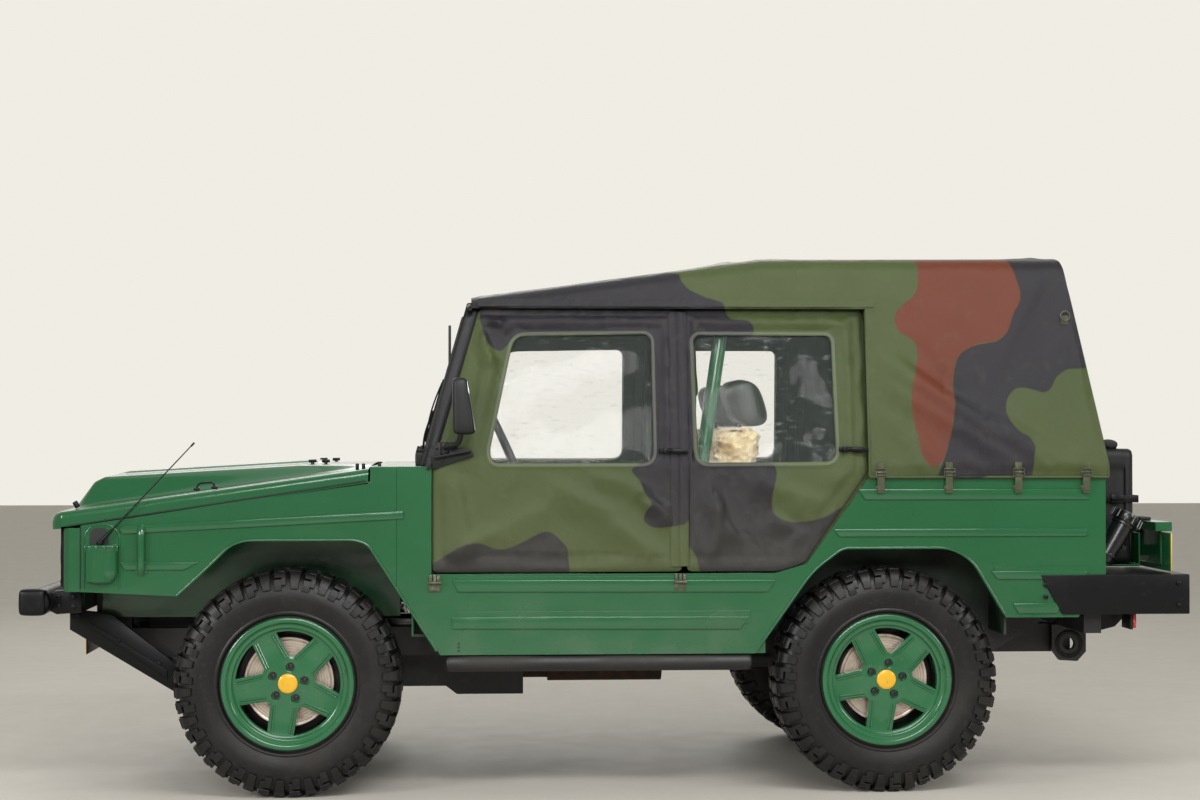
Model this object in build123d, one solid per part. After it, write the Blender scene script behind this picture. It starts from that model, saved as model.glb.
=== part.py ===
from build123d import *
import math
import os

# A small military 4x4 with a green steel tub, a canvas top, four canvas doors and
# five-spoke wheels.  Millimetres.  +X forward, +Y to the car's left, +Z up; the origin
# lies on the ground, half-way along the car's length and on its centre line.
os.makedirs("parts", exist_ok=True)

# ---- driving sizes ---------------------------------------------------------------
WHEELBASE = 2017.0
FRONT_OVERHANG = 880.0        # front axle to the front of the bumper tube
REAR_OVERHANG = 1039.0        # rear axle to the back of the corner bumpers
TRACK = 1270.0
TYRE_RADIUS = 380.0
TYRE_WIDTH = 246.0
RIM_RADIUS = 222.0            # outside of the rim's flanges
RIM_WIDTH = 220.0
BODY_WIDTH = 1510.0
SKIN = 12.0                   # the tub's steel walls, as thick as a folded panel
DOOR_WALL = 30.0
CANVAS = 9.0
GAP = 6.0                     # round every door and lid
SWING_GAP = 12.0              # behind a leaning door's rear edge, which swings back a little

# ---- places along the car ----------------------------------------------------------
FRONT_AXLE_X = (WHEELBASE + REAR_OVERHANG - FRONT_OVERHANG) / 2
REAR_AXLE_X = FRONT_AXLE_X - WHEELBASE
NOSE_X = FRONT_AXLE_X + 738            # front face of the nose panel
GRILLE_X = NOSE_X + 27
HOOD_LIP_X = GRILLE_X + 15
FENDER_FRONT_X = NOSE_X - 58
HOOD_REAR_X = FRONT_AXLE_X - 267
FENDER_REAR_X = FRONT_AXLE_X - 362
DASH_WALL_X = FRONT_AXLE_X - 410       # front face of the bulkhead
DOOR_FRONT_X = FRONT_AXLE_X - 484
DOOR_REAR_X = REAR_AXLE_X + 76
DOOR_SPLIT_X = DOOR_FRONT_X - 0.5793 * (DOOR_FRONT_X - DOOR_REAR_X)
BODY_REAR_X = REAR_AXLE_X - 751
RISER_X = REAR_AXLE_X + 400            # step up to the load floor

# ---- heights -----------------------------------------------------------------------
SILL_Z = 474.0
FENDER_LOW_Z = 690.0
QUARTER_LOW_Z = 590.0
DOOR_LOW_Z = 750.0
TUB_TOP_Z = 1076.0
BELT_Z = 1107.0                # where the doors start to lean in
DOOR_TOP_Z = 1642.0
COWL_Z = 1104.0
SEAM_FRONT_Z = 908.0           # hood skirt's lower edge at the nose
SEAM_REAR_Z = 1060.0
HOOD_EDGE_FRONT_Z = 955.0      # hood's folded side edge at the nose
HOOD_EDGE_REAR_Z = 1096.0
ARCH_TOP_Z = 857.0
REAR_ARCH_TOP_Z = 825.0
RAIL_LOW_Z = 430.0
RAIL_TOP_Z = 530.0
LOAD_FLOOR_Z = 772.0
ROOF_FRONT_Z = 1676.0
ROOF_PEAK_Z = 1811.0
ROOF_REAR_Z = 1817.0
ROOF_CROWN = 30.0              # centre of the canvas above its shoulders

HALF = BODY_WIDTH / 2
HUB_Z = TYRE_RADIUS
WHEEL_Y = TRACK / 2
KINGPIN_Y = WHEEL_Y - 75
RAIL_IN = 262.0
RAIL_OUT = 312.0


# ---- ways of making a solid ----------------------------------------------------------
def block(x, y, z):
    """A box between the two values of each pair."""
    middle = [(low + high) / 2 for low, high in (x, y, z)]
    return Pos(*middle) * Box(x[1] - x[0], y[1] - y[0], z[1] - z[0])


def side_prism(points, y):
    """An outline of (x, z) points, filled from one y to the other."""
    face = Face(Wire.make_polygon([Vector(px, y[0], pz) for px, pz in points]))
    return Part() + Solid.extrude(face, Vector(0, y[1] - y[0], 0))


def end_prism(points, x):
    """An outline of (y, z) points, filled from one x to the other."""
    face = Face(Wire.make_polygon([Vector(x[0], py, pz) for py, pz in points]))
    return Part() + Solid.extrude(face, Vector(x[1] - x[0], 0, 0))


def plan_prism(points, z):
    """An outline of (x, y) points, filled from one z to the other."""
    face = Face(Wire.make_polygon([Vector(px, py, z[0]) for px, py in points]))
    return Part() + Solid.extrude(face, Vector(0, 0, z[1] - z[0]))


def leaning_panel(points, y_at, depth):
    """A panel of (x, z) points whose outer face leans by y_at(z); depth goes inwards."""
    face = Face(Wire.make_polygon([Vector(px, y_at(pz), pz) for px, pz in points]))
    return Part() + Solid.extrude(face, Vector(0, -depth, 0))


def rod(start, end, radius):
    """A round bar between two points."""
    along = Vector(*end) - Vector(*start)
    return Part() + Solid.make_cylinder(radius, along.length, Plane(origin=start, z_dir=along))


def pipe(points, radius, bend):
    """A round tube, drawn solid, along straight runs joined by arcs."""
    path = FilletPolyline(*points, radius=bend)
    return sweep(Plane(origin=path @ 0, z_dir=path % 0) * Circle(radius), path=path)


def skinned_loft(sections):
    """A straight-sided solid through sections, each an x and its (y, z) points."""
    wires = [Wire.make_polygon([Vector(x, py, pz) for py, pz in points]) for x, points in sections]
    return Part() + Solid.make_loft(wires, ruled=True)


def mirrored(shape):
    return mirror(shape, about=Plane.XZ)


def both_sides(shape):
    return shape + mirrored(shape)


def at_wheel(shape, x, side):
    """A left wheel's piece, made about the origin, put on its axle on one side."""
    placed = Pos(x, WHEEL_Y, HUB_Z) * shape
    return placed if side == "left" else mirrored(placed)


def between(x, low, high):
    """Value at x on the straight line from low = (x, value) to high = (x, value)."""
    return low[1] + (x - low[0]) * (high[1] - low[1]) / (high[0] - low[0])


def save(node, shape):
    export_step(shape, f"parts/{node}.step")


AXLES = {"front": FRONT_AXLE_X, "rear": REAR_AXLE_X}
SIDES = {"left": 1, "right": -1}


# ---- wheels ----------------------------------------------------------------------------
BEAD_RADIUS = 200.0
BARREL_WALL = 9.0
SPOKE_FACE_Y = 90.0           # from the wheel's middle plane
SPOKE_DEPTH = 26.0
WINDOW_FAR = 175.0            # a window's outer and inner ends, from the axle
WINDOW_NEAR = 88.0
WINDOW_HALF_FAR = 65.0
WINDOW_HALF_NEAR = 12.0
WINDOW_TURN = 8.3             # degrees, first window from straight up
DRUM_RADIUS = 150.0
HUB_RADIUS = 70.0
HUB_BACK_Y = -35.0
BORE_RADIUS = 22.1
SPINDLE_RADIUS = 22.0
BORE_END_Y = 30.0
CAP_RADIUS = 33.0
CAP_PROUD = 7.0
BOLT_CIRCLE = 112.0
BOLT_POCKET = 15.5
BOLT_COUNT = 5
POCKET_DEPTH = 12.0
TREAD_SIDES = 44               # an even number, so that the lugs alternate all round
LUG_DEPTH = 14.0
LUG_REACH = 72.0               # from the sidewall to the lug's inner end


def tyre_sector(outline, turn):
    """A straight bar of the (y, radius) outline, trimmed at both ends to its share of the turn."""
    far = TYRE_RADIUS + 20
    wide = far * math.tan(turn / 2)
    wedge = side_prism([(0, 0), (wide, far), (-wide, far)], (-TYRE_WIDTH, TYRE_WIDTH))
    return end_prism(outline, (-wide, wide)) & wedge


def tyre():
    """Flat-sided sectors round the axle; each has a mud lug on one shoulder, left and right in turn."""
    turn = 2 * math.pi / TREAD_SIDES
    flat = math.cos(turn / 2)     # a side's middle is this much nearer the axle than its edges
    half = TYRE_WIDTH / 2
    bead = RIM_WIDTH / 2 - 11
    top = TYRE_RADIUS * flat
    lug_end = half - LUG_REACH
    wall = [  # (y, radius), from the bead out to the shoulder
        (bead, BEAD_RADIUS), (bead, RIM_RADIUS + 4), (half - 2, RIM_RADIUS + 46), (half, top - 53)]
    plain = [(lug_end, top - LUG_DEPTH)]
    lugged = [(half - 5, top - 17), (half - 22, top), (lug_end, top), (lug_end, top - LUG_DEPTH)]
    kinds = []
    for left, right in ((plain, lugged), (lugged, plain)):
        outline = wall + left + [(-y, radius) for y, radius in reversed(wall + right)]
        kinds.append(tyre_sector(outline, turn))
    step = 360 / TREAD_SIDES
    return Part() + [Rot(0, (index + 0.5) * step, 0) * kinds[index % 2] for index in range(TREAD_SIDES)]


def rim():
    half = RIM_WIDTH / 2
    lip = 10.0
    inner = BEAD_RADIUS - BARREL_WALL
    barrel = [(half, RIM_RADIUS - 3), (half - 3, RIM_RADIUS), (half - lip, RIM_RADIUS),
              (half - lip, BEAD_RADIUS), (-half + lip, BEAD_RADIUS), (-half + lip, RIM_RADIUS),
              (-half, RIM_RADIUS), (-half, inner), (SPOKE_FACE_Y - SPOKE_DEPTH, inner),
              (SPOKE_FACE_Y - SPOKE_DEPTH, 1), (SPOKE_FACE_Y, 1), (SPOKE_FACE_Y, 184),
              (SPOKE_FACE_Y + 6, 187), (SPOKE_FACE_Y + 6, 199), (half, 206)]
    shell = revolve(Face(Wire.make_polygon([Vector(0, y, r) for y, r in barrel])), Axis.Y, 360)
    shell += rod((0, SPOKE_FACE_Y - SPOKE_DEPTH, 0), (0, SPOKE_FACE_Y, 0), 5)
    window = side_prism([(-WINDOW_HALF_NEAR, WINDOW_NEAR), (WINDOW_HALF_NEAR, WINDOW_NEAR),
                         (WINDOW_HALF_FAR, math.sqrt(WINDOW_FAR**2 - WINDOW_HALF_FAR**2)),
                         (0, WINDOW_FAR),
                         (-WINDOW_HALF_FAR, math.sqrt(WINDOW_FAR**2 - WINDOW_HALF_FAR**2))],
                        (SPOKE_FACE_Y - SPOKE_DEPTH - 1, SPOKE_FACE_Y + 1))
    pocket = Pos(0, 0, BOLT_CIRCLE / 2) * rod((0, SPOKE_FACE_Y - POCKET_DEPTH, 0),
                                              (0, SPOKE_FACE_Y + 1, 0), BOLT_POCKET)
    for index in range(5):
        shell -= Rot(0, -WINDOW_TURN + 72 * index, 0) * window
    for index in range(BOLT_COUNT):
        shell -= Rot(0, -WINDOW_TURN + 360 / BOLT_COUNT * index, 0) * pocket
    cap = rod((0, SPOKE_FACE_Y, 0), (0, SPOKE_FACE_Y + CAP_PROUD, 0), CAP_RADIUS)
    # the brake drum turns with the wheel and shows through the windows
    drum = [(SPOKE_FACE_Y - SPOKE_DEPTH, HUB_RADIUS), (38, HUB_RADIUS + 8), (38, 94), (33, 97),
            (33, 103), (38, 106), (38, 122), (28, 127), (28, 137), (40, 139),
            (40, DRUM_RADIUS), (-20, DRUM_RADIUS), (-20, HUB_RADIUS), (HUB_BACK_Y, HUB_RADIUS - 6),
            (HUB_BACK_Y, BORE_RADIUS), (BORE_END_Y, BORE_RADIUS), (BORE_END_Y, 1),
            (SPOKE_FACE_Y - SPOKE_DEPTH, 1)]
    hub = revolve(Face(Wire.make_polygon([Vector(0, y, r) for y, r in drum])), Axis.Y, 360)
    hub += rod((0, BORE_END_Y, 0), (0, SPOKE_FACE_Y - SPOKE_DEPTH, 0), 5)
    return shell + cap + hub


TYRE = tyre()
RIM = rim()
for axle, axle_x in AXLES.items():
    for side in SIDES:
        save(f"tyre_{axle}_{side}", at_wheel(TYRE, axle_x, side))
        save(f"rim_{axle}_{side}", at_wheel(RIM, axle_x, side))

# ---- knuckles, suspension, shafts ------------------------------------------------------------
KNUCKLE_HALF_X = 32.0
KNUCKLE_HALF_Y = 15.0
KNUCKLE_LOW_Z = HUB_Z - 105
KNUCKLE_TOP_Z = HUB_Z + 105
PIN_RADIUS = 8.0
PIN_GAP = 5.0                 # arm eyes above and below a knuckle
EYE_DEPTH = 12.0
EYE_RADIUS = 24.0
SPINDLE_END_Y = WHEEL_Y + BORE_END_Y - 5
ARM_INNER_Y = RAIL_OUT - 12
ARM_HALF_X = 110.0


def upright(axle_x):
    """Hub carrier and spindle on the left of an axle."""
    carrier = block((axle_x - KNUCKLE_HALF_X, axle_x + KNUCKLE_HALF_X),
                    (KINGPIN_Y - KNUCKLE_HALF_Y, KINGPIN_Y + KNUCKLE_HALF_Y),
                    (KNUCKLE_LOW_Z, KNUCKLE_TOP_Z))
    return carrier + rod((axle_x, KINGPIN_Y, HUB_Z), (axle_x, SPINDLE_END_Y, HUB_Z), SPINDLE_RADIUS)


def knuckle():
    pins = rod((FRONT_AXLE_X, KINGPIN_Y, KNUCKLE_LOW_Z - PIN_GAP - EYE_DEPTH),
               (FRONT_AXLE_X, KINGPIN_Y, KNUCKLE_TOP_Z + PIN_GAP + EYE_DEPTH), PIN_RADIUS)
    arm = block((FRONT_AXLE_X - 150, FRONT_AXLE_X), (KINGPIN_Y - 12, KINGPIN_Y + 6),
                (HUB_Z - 60, HUB_Z - 40))
    return upright(FRONT_AXLE_X) + pins + arm


def suspension(axle_x, pin_hole):
    """Both sides' lower arms and the transverse leaf spring that is the upper link."""
    eye_low = KNUCKLE_LOW_Z - PIN_GAP - EYE_DEPTH
    leaf_low = KNUCKLE_TOP_Z + PIN_GAP
    lower = plan_prism([(axle_x - ARM_HALF_X, ARM_INNER_Y), (axle_x - ARM_HALF_X + 34, ARM_INNER_Y),
                        (axle_x, KINGPIN_Y - 90), (axle_x + ARM_HALF_X - 34, ARM_INNER_Y),
                        (axle_x + ARM_HALF_X, ARM_INNER_Y), (axle_x + 18, KINGPIN_Y),
                        (axle_x - 18, KINGPIN_Y)], (eye_low, eye_low + EYE_DEPTH))
    lower += rod((axle_x, KINGPIN_Y, eye_low), (axle_x, KINGPIN_Y, eye_low + EYE_DEPTH), EYE_RADIUS)
    for end in (-1, 1):
        middle = axle_x + end * (ARM_HALF_X - 17)
        lower += block((middle - 17, middle + 17), (ARM_INNER_Y - 24, ARM_INNER_Y + 12),
                       (eye_low, RAIL_LOW_Z))
    leaf = end_prism([(0, RAIL_TOP_Z + 15), (RAIL_OUT, RAIL_TOP_Z + 7), (KINGPIN_Y - 45, leaf_low),
                      (KINGPIN_Y, leaf_low), (KINGPIN_Y, leaf_low + EYE_DEPTH),
                      (KINGPIN_Y - 40, leaf_low + EYE_DEPTH), (RAIL_OUT, RAIL_TOP_Z + 32),
                      (0, RAIL_TOP_Z + 44)], (axle_x - 30, axle_x + 30))
    leaf += rod((axle_x, KINGPIN_Y, leaf_low), (axle_x, KINGPIN_Y, leaf_low + EYE_DEPTH), 30)
    leaf += block((axle_x - 34, axle_x + 34), (RAIL_IN, RAIL_OUT), (RAIL_TOP_Z, RAIL_TOP_Z + 14))
    if pin_hole:
        bore = rod((axle_x, KINGPIN_Y, eye_low - 1), (axle_x, KINGPIN_Y, leaf_low + EYE_DEPTH + 1),
                   PIN_RADIUS + 0.1)
        lower -= bore
        leaf -= bore
    return both_sides(lower) + both_sides(leaf)


for side in SIDES:
    save(f"knuckle_{side}", knuckle() if side == "left" else mirrored(knuckle()))
save("front_suspension", suspension(FRONT_AXLE_X, True))
rear_pins = (rod((REAR_AXLE_X, KINGPIN_Y, KNUCKLE_LOW_Z - PIN_GAP),
                 (REAR_AXLE_X, KINGPIN_Y, KNUCKLE_LOW_Z + 1), KNUCKLE_HALF_Y - 1)
             + rod((REAR_AXLE_X, KINGPIN_Y, KNUCKLE_TOP_Z - 1),
                   (REAR_AXLE_X, KINGPIN_Y, KNUCKLE_TOP_Z + PIN_GAP), KNUCKLE_HALF_Y - 1))
save("rear_suspension", suspension(REAR_AXLE_X, False) + both_sides(upright(REAR_AXLE_X) + rear_pins))

CASE_HALF_Y = 130.0
CASE_LOW_Z = 300.0
CASE_TOP_Z = RAIL_TOP_Z - 6
CASE_FRONT_X = FRONT_AXLE_X + 110
CASE_REAR_X = FRONT_AXLE_X - 800
DIFF_HALF_X = 110.0
SHAFT_END_Y = KINGPIN_Y - 40
gear_case = side_prism([(CASE_FRONT_X, CASE_TOP_Z), (CASE_FRONT_X, CASE_LOW_Z + 20),
                        (CASE_FRONT_X - 50, CASE_LOW_Z), (FRONT_AXLE_X - 520, CASE_LOW_Z),
                        (FRONT_AXLE_X - 560, 270), (CASE_REAR_X, 270),
                        (CASE_REAR_X, CASE_TOP_Z - 40), (FRONT_AXLE_X - 400, CASE_TOP_Z)],
                       (-CASE_HALF_Y, CASE_HALF_Y))
save("gear_case", gear_case)
rear_diff = block((REAR_AXLE_X - DIFF_HALF_X, REAR_AXLE_X + DIFF_HALF_X), (-CASE_HALF_Y, CASE_HALF_Y),
                  (HUB_Z - 90, HUB_Z + 90))
prop_shaft = rod((CASE_REAR_X, 0, HUB_Z), (REAR_AXLE_X + DIFF_HALF_X, 0, HUB_Z), 32)
boots = [rod((x, SHAFT_END_Y - 60, HUB_Z), (x, SHAFT_END_Y, HUB_Z), 36) for x in AXLES.values()]
halves = [rod((x, CASE_HALF_Y, HUB_Z), (x, SHAFT_END_Y, HUB_Z), 15) for x in AXLES.values()]
rear_link = rod((REAR_AXLE_X, SHAFT_END_Y, HUB_Z), (REAR_AXLE_X, KINGPIN_Y - KNUCKLE_HALF_Y, HUB_Z), 15)
save("drive_shafts", rear_diff + prop_shaft + both_sides(boots[0] + halves[0])
     + both_sides(boots[1] + halves[1] + rear_link))

ENGINE_REAR_X = CASE_FRONT_X
ENGINE_FRONT_X = FRONT_AXLE_X + 530
save("engine_block", block((ENGINE_REAR_X, ENGINE_FRONT_X), (-210, 210), (430, 870)))

# ---- chassis -----------------------------------------------------------------------------------
RAIL_FRONT_X = FRONT_AXLE_X + 580
RAIL_REAR_X = BODY_REAR_X
BEAM_LOW_Z = 610.0
BEAM_TOP_Z = 680.0
HORN_FRONT_X = RAIL_FRONT_X + 120
HORN_LOW_Z = 506.0
TOW_X = RAIL_REAR_X + 17
TOW_Z = 461.0                 # centre of the towing eyes' holes
TOW_HOLE = 22.0
TOW_PLATE = 26.0
CROSS_DEPTH = 50.0
rail = block((RAIL_REAR_X, RAIL_FRONT_X), (RAIL_IN, RAIL_OUT), (RAIL_LOW_Z, RAIL_TOP_Z))
rail += block((RAIL_FRONT_X - 1, HORN_FRONT_X), (RAIL_IN, RAIL_OUT), (HORN_LOW_Z, BEAM_TOP_Z))
TOW_HALF = 62.0
TOW_Y = RAIL_OUT + 20
tow_eye = side_prism([(TOW_X - TOW_HALF, TOW_Z - 28), (TOW_X - 30, TOW_Z - 62), (TOW_X + 34, TOW_Z - 58),
                      (TOW_X + TOW_HALF, TOW_Z - 20), (TOW_X + TOW_HALF, RAIL_TOP_Z),
                      (TOW_X - 10, RAIL_TOP_Z), (TOW_X - TOW_HALF, TOW_Z + 40)], (TOW_Y, TOW_Y + TOW_PLATE))
tow_eye -= rod((TOW_X, TOW_Y - 1, TOW_Z), (TOW_X, TOW_Y + TOW_PLATE + 1, TOW_Z), TOW_HOLE)
tow_eye += block((TOW_X - 10, TOW_X + TOW_HALF), (RAIL_OUT - 1, TOW_Y + 1), (TOW_Z + 36, RAIL_TOP_Z))
save("chassis_rails", both_sides(rail + tow_eye))
crossmembers = block((RAIL_REAR_X, RAIL_REAR_X + 60), (-HALF + 60, HALF - 60), (RAIL_TOP_Z, QUARTER_LOW_Z + 5))
for station in (RAIL_FRONT_X - 40, CASE_REAR_X - 110, REAR_AXLE_X + 420, REAR_AXLE_X - 330, RAIL_REAR_X):
    crossmembers += block((station, station + CROSS_DEPTH), (-RAIL_IN, RAIL_IN),
                          (RAIL_LOW_Z + 15, RAIL_TOP_Z - 15))
save("crossmembers", crossmembers)

# ---- floor and wheel houses --------------------------------------------------------------------
SHEET = 8.0
FLOOR_Z = RAIL_TOP_Z
SILL_IN = HALF - 65
HOUSE_IN = WHEEL_Y - TYRE_WIDTH / 2 - 20
HOUSE_TOP_Z = 880.0
HOUSE_REAR_X = REAR_AXLE_X - 415
floor = block((RISER_X, DASH_WALL_X - SHEET), (-SILL_IN, SILL_IN), (FLOOR_Z, FLOOR_Z + SHEET))
floor += block((RISER_X, RISER_X + SHEET), (-SILL_IN, SILL_IN), (FLOOR_Z, LOAD_FLOOR_Z))
floor += block((BODY_REAR_X + SKIN, RISER_X + SHEET), (-HOUSE_IN, HOUSE_IN),
               (LOAD_FLOOR_Z - SHEET, LOAD_FLOOR_Z))
floor += block((BODY_REAR_X + SKIN, HOUSE_REAR_X), (-HALF + SKIN, HALF - SKIN),
               (LOAD_FLOOR_Z - SHEET, LOAD_FLOOR_Z))
HOUSE_OUT = HALF - DOOR_WALL - GAP
house_box = block((HOUSE_REAR_X, RISER_X + SHEET), (HOUSE_IN, HOUSE_OUT), (FLOOR_Z, HOUSE_TOP_Z))
house_room = block((HOUSE_REAR_X + SHEET, RISER_X), (HOUSE_IN + SHEET, HALF), (FLOOR_Z - 1, HOUSE_TOP_Z - SHEET))
save("floor_pan", floor - both_sides(house_box))
save("wheel_houses", both_sides(house_box - house_room))

# ---- nose, fenders, cowl -----------------------------------------------------------------------
GRILLE_HALF = 640.0
GRILLE_LOW_Z = 700.0
GRILLE_TOP_Z = 918.0
LAMP_Y = 520.0
LAMP_Z = 806.0
LAMP_RADIUS = 88.0


def seam_z(x):
    """Lower edge of the hood's side skirt."""
    return between(x, (NOSE_X, SEAM_FRONT_Z), (HOOD_REAR_X, SEAM_REAR_Z))


nose = plan_prism([(FENDER_FRONT_X, HALF), (NOSE_X - 20, HALF), (NOSE_X, HALF - 20),
                   (NOSE_X, -HALF + 20), (NOSE_X - 20, -HALF), (FENDER_FRONT_X, -HALF)],
                  (FENDER_LOW_Z, SEAM_FRONT_Z - GAP))
nose -= block((FENDER_FRONT_X - 1, NOSE_X - SKIN), (-HALF + SKIN, HALF - SKIN),
              (FENDER_LOW_Z + SKIN, SEAM_FRONT_Z + 1))
nose -= block((FENDER_FRONT_X - 1, NOSE_X + 1), (-LAMP_Y, LAMP_Y), (GRILLE_LOW_Z + 25, SEAM_FRONT_Z - 20))
nose -= both_sides(rod((FENDER_FRONT_X - 1, LAMP_Y, LAMP_Z), (NOSE_X + 1, LAMP_Y, LAMP_Z), LAMP_RADIUS))
save("nose_panel", nose)

surround = block((NOSE_X, GRILLE_X), (-GRILLE_HALF, GRILLE_HALF), (GRILLE_LOW_Z, GRILLE_TOP_Z))
surround -= block((NOSE_X - 1, GRILLE_X + 1), (-LAMP_Y + LAMP_RADIUS + 22, LAMP_Y - LAMP_RADIUS - 22),
                  (GRILLE_LOW_Z + 22, GRILLE_TOP_Z - 22))
surround -= both_sides(rod((NOSE_X - 1, LAMP_Y, LAMP_Z), (GRILLE_X + 1, LAMP_Y, LAMP_Z), LAMP_RADIUS + 4))
SLATS = 7
SLAT_SPAN = GRILLE_TOP_Z - GRILLE_LOW_Z - 44
for index in range(SLATS):
    slat_z = GRILLE_LOW_Z + 22 + SLAT_SPAN * (index + 0.5) / SLATS
    surround += block((NOSE_X, GRILLE_X - 4), (-LAMP_Y + LAMP_RADIUS + 20, LAMP_Y - LAMP_RADIUS - 20),
                      (slat_z - 4, slat_z + 4))
save("grille", surround)
lamp = rod((NOSE_X - 30, LAMP_Y, LAMP_Z), (NOSE_X + 8, LAMP_Y, LAMP_Z), LAMP_RADIUS)
save("headlamps", both_sides(lamp))

LIP_DEPTH = 34.0               # wheel arches' inward flanges
LIP_WALL = 9.0


def arch_lip(points):
    """Inward flange along an arch of (x, z) points."""
    raised = [(x, z + LIP_WALL) for x, z in reversed(points)]
    return side_prism(points + raised, (HALF - LIP_DEPTH, HALF - SKIN + 1))


WELL_IN = RAIL_OUT + 6
WELL_TOP_Z = 884.0
ARCH = [  # (from the front axle, z), from the A-post round to the nose
    (-508, 470), (-267, 842), (-223, ARCH_TOP_Z), (141, ARCH_TOP_Z), (190, 840), (270, 760), (359, 674)]
arch_at_post = between(FENDER_REAR_X - FRONT_AXLE_X, ARCH[0], ARCH[1])
fender_points = [(FENDER_FRONT_X, FENDER_LOW_Z), (FENDER_FRONT_X, seam_z(FENDER_FRONT_X) - GAP),
                 (HOOD_REAR_X - GAP, seam_z(HOOD_REAR_X) - GAP), (HOOD_REAR_X - GAP, COWL_Z),
                 (FENDER_REAR_X, COWL_Z), (FENDER_REAR_X, arch_at_post)]
fender_points += [(FRONT_AXLE_X + x, z) for x, z in ARCH[1:]]
fender = side_prism(fender_points, (HALF - SKIN, HALF))
fender += block((FENDER_REAR_X, FENDER_FRONT_X), (WELL_IN, HALF - SKIN + 1), (WELL_TOP_Z - SHEET, WELL_TOP_Z))
fender += block((FENDER_REAR_X, FENDER_FRONT_X), (WELL_IN, WELL_IN + SHEET), (RAIL_TOP_Z + 40, WELL_TOP_Z))
POCKET_X = FRONT_AXLE_X + 617
POCKET_HALF = 52.0
POCKET_RIM_Z = 846.0
POCKET_LOW_Z = 705.0
cup = plan_prism([(POCKET_X - POCKET_HALF, HALF), (POCKET_X - POCKET_HALF + 12, HALF + 24),
                  (POCKET_X - 18, HALF + 34), (POCKET_X + 18, HALF + 34),
                  (POCKET_X + POCKET_HALF - 12, HALF + 24), (POCKET_X + POCKET_HALF, HALF)],
                 (POCKET_LOW_Z + 20, POCKET_RIM_Z))
fender += cup + arch_lip([(FRONT_AXLE_X + x, z) for x, z in ARCH[1:]])
save("front_fenders", both_sides(fender))

cowl = block((DOOR_FRONT_X + GAP, HOOD_REAR_X - GAP), (-HALF + SKIN, HALF - SKIN), (COWL_Z - 20, COWL_Z))
cowl += block((DASH_WALL_X - SHEET, DASH_WALL_X), (-SILL_IN, SILL_IN), (FLOOR_Z, COWL_Z - 20))
save("cowl_panel", cowl)

# ---- hood: a shell with side skirts, a raised centre and a middle ridge ------------------------
HOOD_WALL = 9.0
BULGE_HALF = 440.0
BULGE_FOOT = 40.0              # how far each flank slopes out
RIDGE_HALF = 150.0
BULGE = [  # (from the front axle, top z), rear to front
    (HOOD_REAR_X - FRONT_AXLE_X, 1107), (-17, 1102), (655, 1062), (690, 1040), (735, 985)]


def hood_edge_z(x):
    return between(x, (NOSE_X, HOOD_EDGE_FRONT_Z), (HOOD_REAR_X, HOOD_EDGE_REAR_Z))


def hood_volume(inset):
    """Outer form for inset 0; the same form that much smaller for the hollow under it."""
    rear, front = HOOD_REAR_X + inset, HOOD_LIP_X - inset
    width = HALF - inset
    sections = []
    for x in (rear, front):
        edge = hood_edge_z(x) - inset
        sections.append((x, [(-width, seam_z(x) - inset), (-width, edge), (0, edge + 10), (width, edge),
                             (width, seam_z(x) - inset)]))
    form = skinned_loft(sections)
    rises = []
    for from_axle, top in BULGE:
        x = min(max(FRONT_AXLE_X + from_axle, rear), front) - inset * (from_axle > 0)
        half = BULGE_HALF - inset
        low = seam_z(x) + 5
        rises.append((x, [(-half - BULGE_FOOT, low), (-half, top - inset), (half, top - inset),
                          (half + BULGE_FOOT, low)]))
    form += skinned_loft(rises)
    return form


hood = hood_volume(0)
hood += skinned_loft([(FRONT_AXLE_X + x, [(-RIDGE_HALF - 12, z - 20), (-RIDGE_HALF, z), (RIDGE_HALF, z),
                                          (RIDGE_HALF + 12, z - 20)])
                      for x, z in ((-60, 1112), (655, 1071))])
hood -= hood_volume(HOOD_WALL)
# the nose edge stops above the grille, with its corners taken off in plan
hood -= block((NOSE_X - 8, HOOD_LIP_X + 1), (-HALF + 14, HALF - 14), (0, GRILLE_TOP_Z + 14))
corner = plan_prism([(NOSE_X, HALF + 1), (NOSE_X, HALF), (HOOD_LIP_X - 12, HALF - 16),
                     (HOOD_LIP_X, HALF - 50), (HOOD_LIP_X + 1, HALF - 50), (HOOD_LIP_X + 1, HALF + 1)],
                    (SEAM_FRONT_Z - 60, HOOD_EDGE_REAR_Z))
hood -= both_sides(corner)
save("hood", hood)

# ---- body sides --------------------------------------------------------------------------------
REAR_ARCH = [  # (from the rear axle, z), front to back
    (450, SILL_Z), (255, 750), (162, 818), (140, REAR_ARCH_TOP_Z), (-218, REAR_ARCH_TOP_Z),
    (-293, 780), (-406, QUARTER_LOW_Z)]
DOOR_CORNER = [(REAR_AXLE_X + 383, DOOR_LOW_Z), (REAR_AXLE_X + 289, DOOR_LOW_Z + 28)]
door_slope_top = (DOOR_REAR_X, BELT_Z - 20)
side_points = [(FENDER_REAR_X, COWL_Z), (DOOR_FRONT_X + GAP, COWL_Z), (DOOR_FRONT_X + GAP, DOOR_LOW_Z - GAP),
               (DOOR_CORNER[0][0] - 2, DOOR_LOW_Z - GAP), (DOOR_CORNER[1][0] - SWING_GAP, DOOR_CORNER[1][1] - 4),
               (door_slope_top[0] - SWING_GAP, TUB_TOP_Z - 12), (door_slope_top[0] - SWING_GAP, TUB_TOP_Z),
               (BODY_REAR_X, TUB_TOP_Z), (BODY_REAR_X, DOOR_LOW_Z - 24), (BODY_REAR_X + 96, QUARTER_LOW_Z)]
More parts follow.
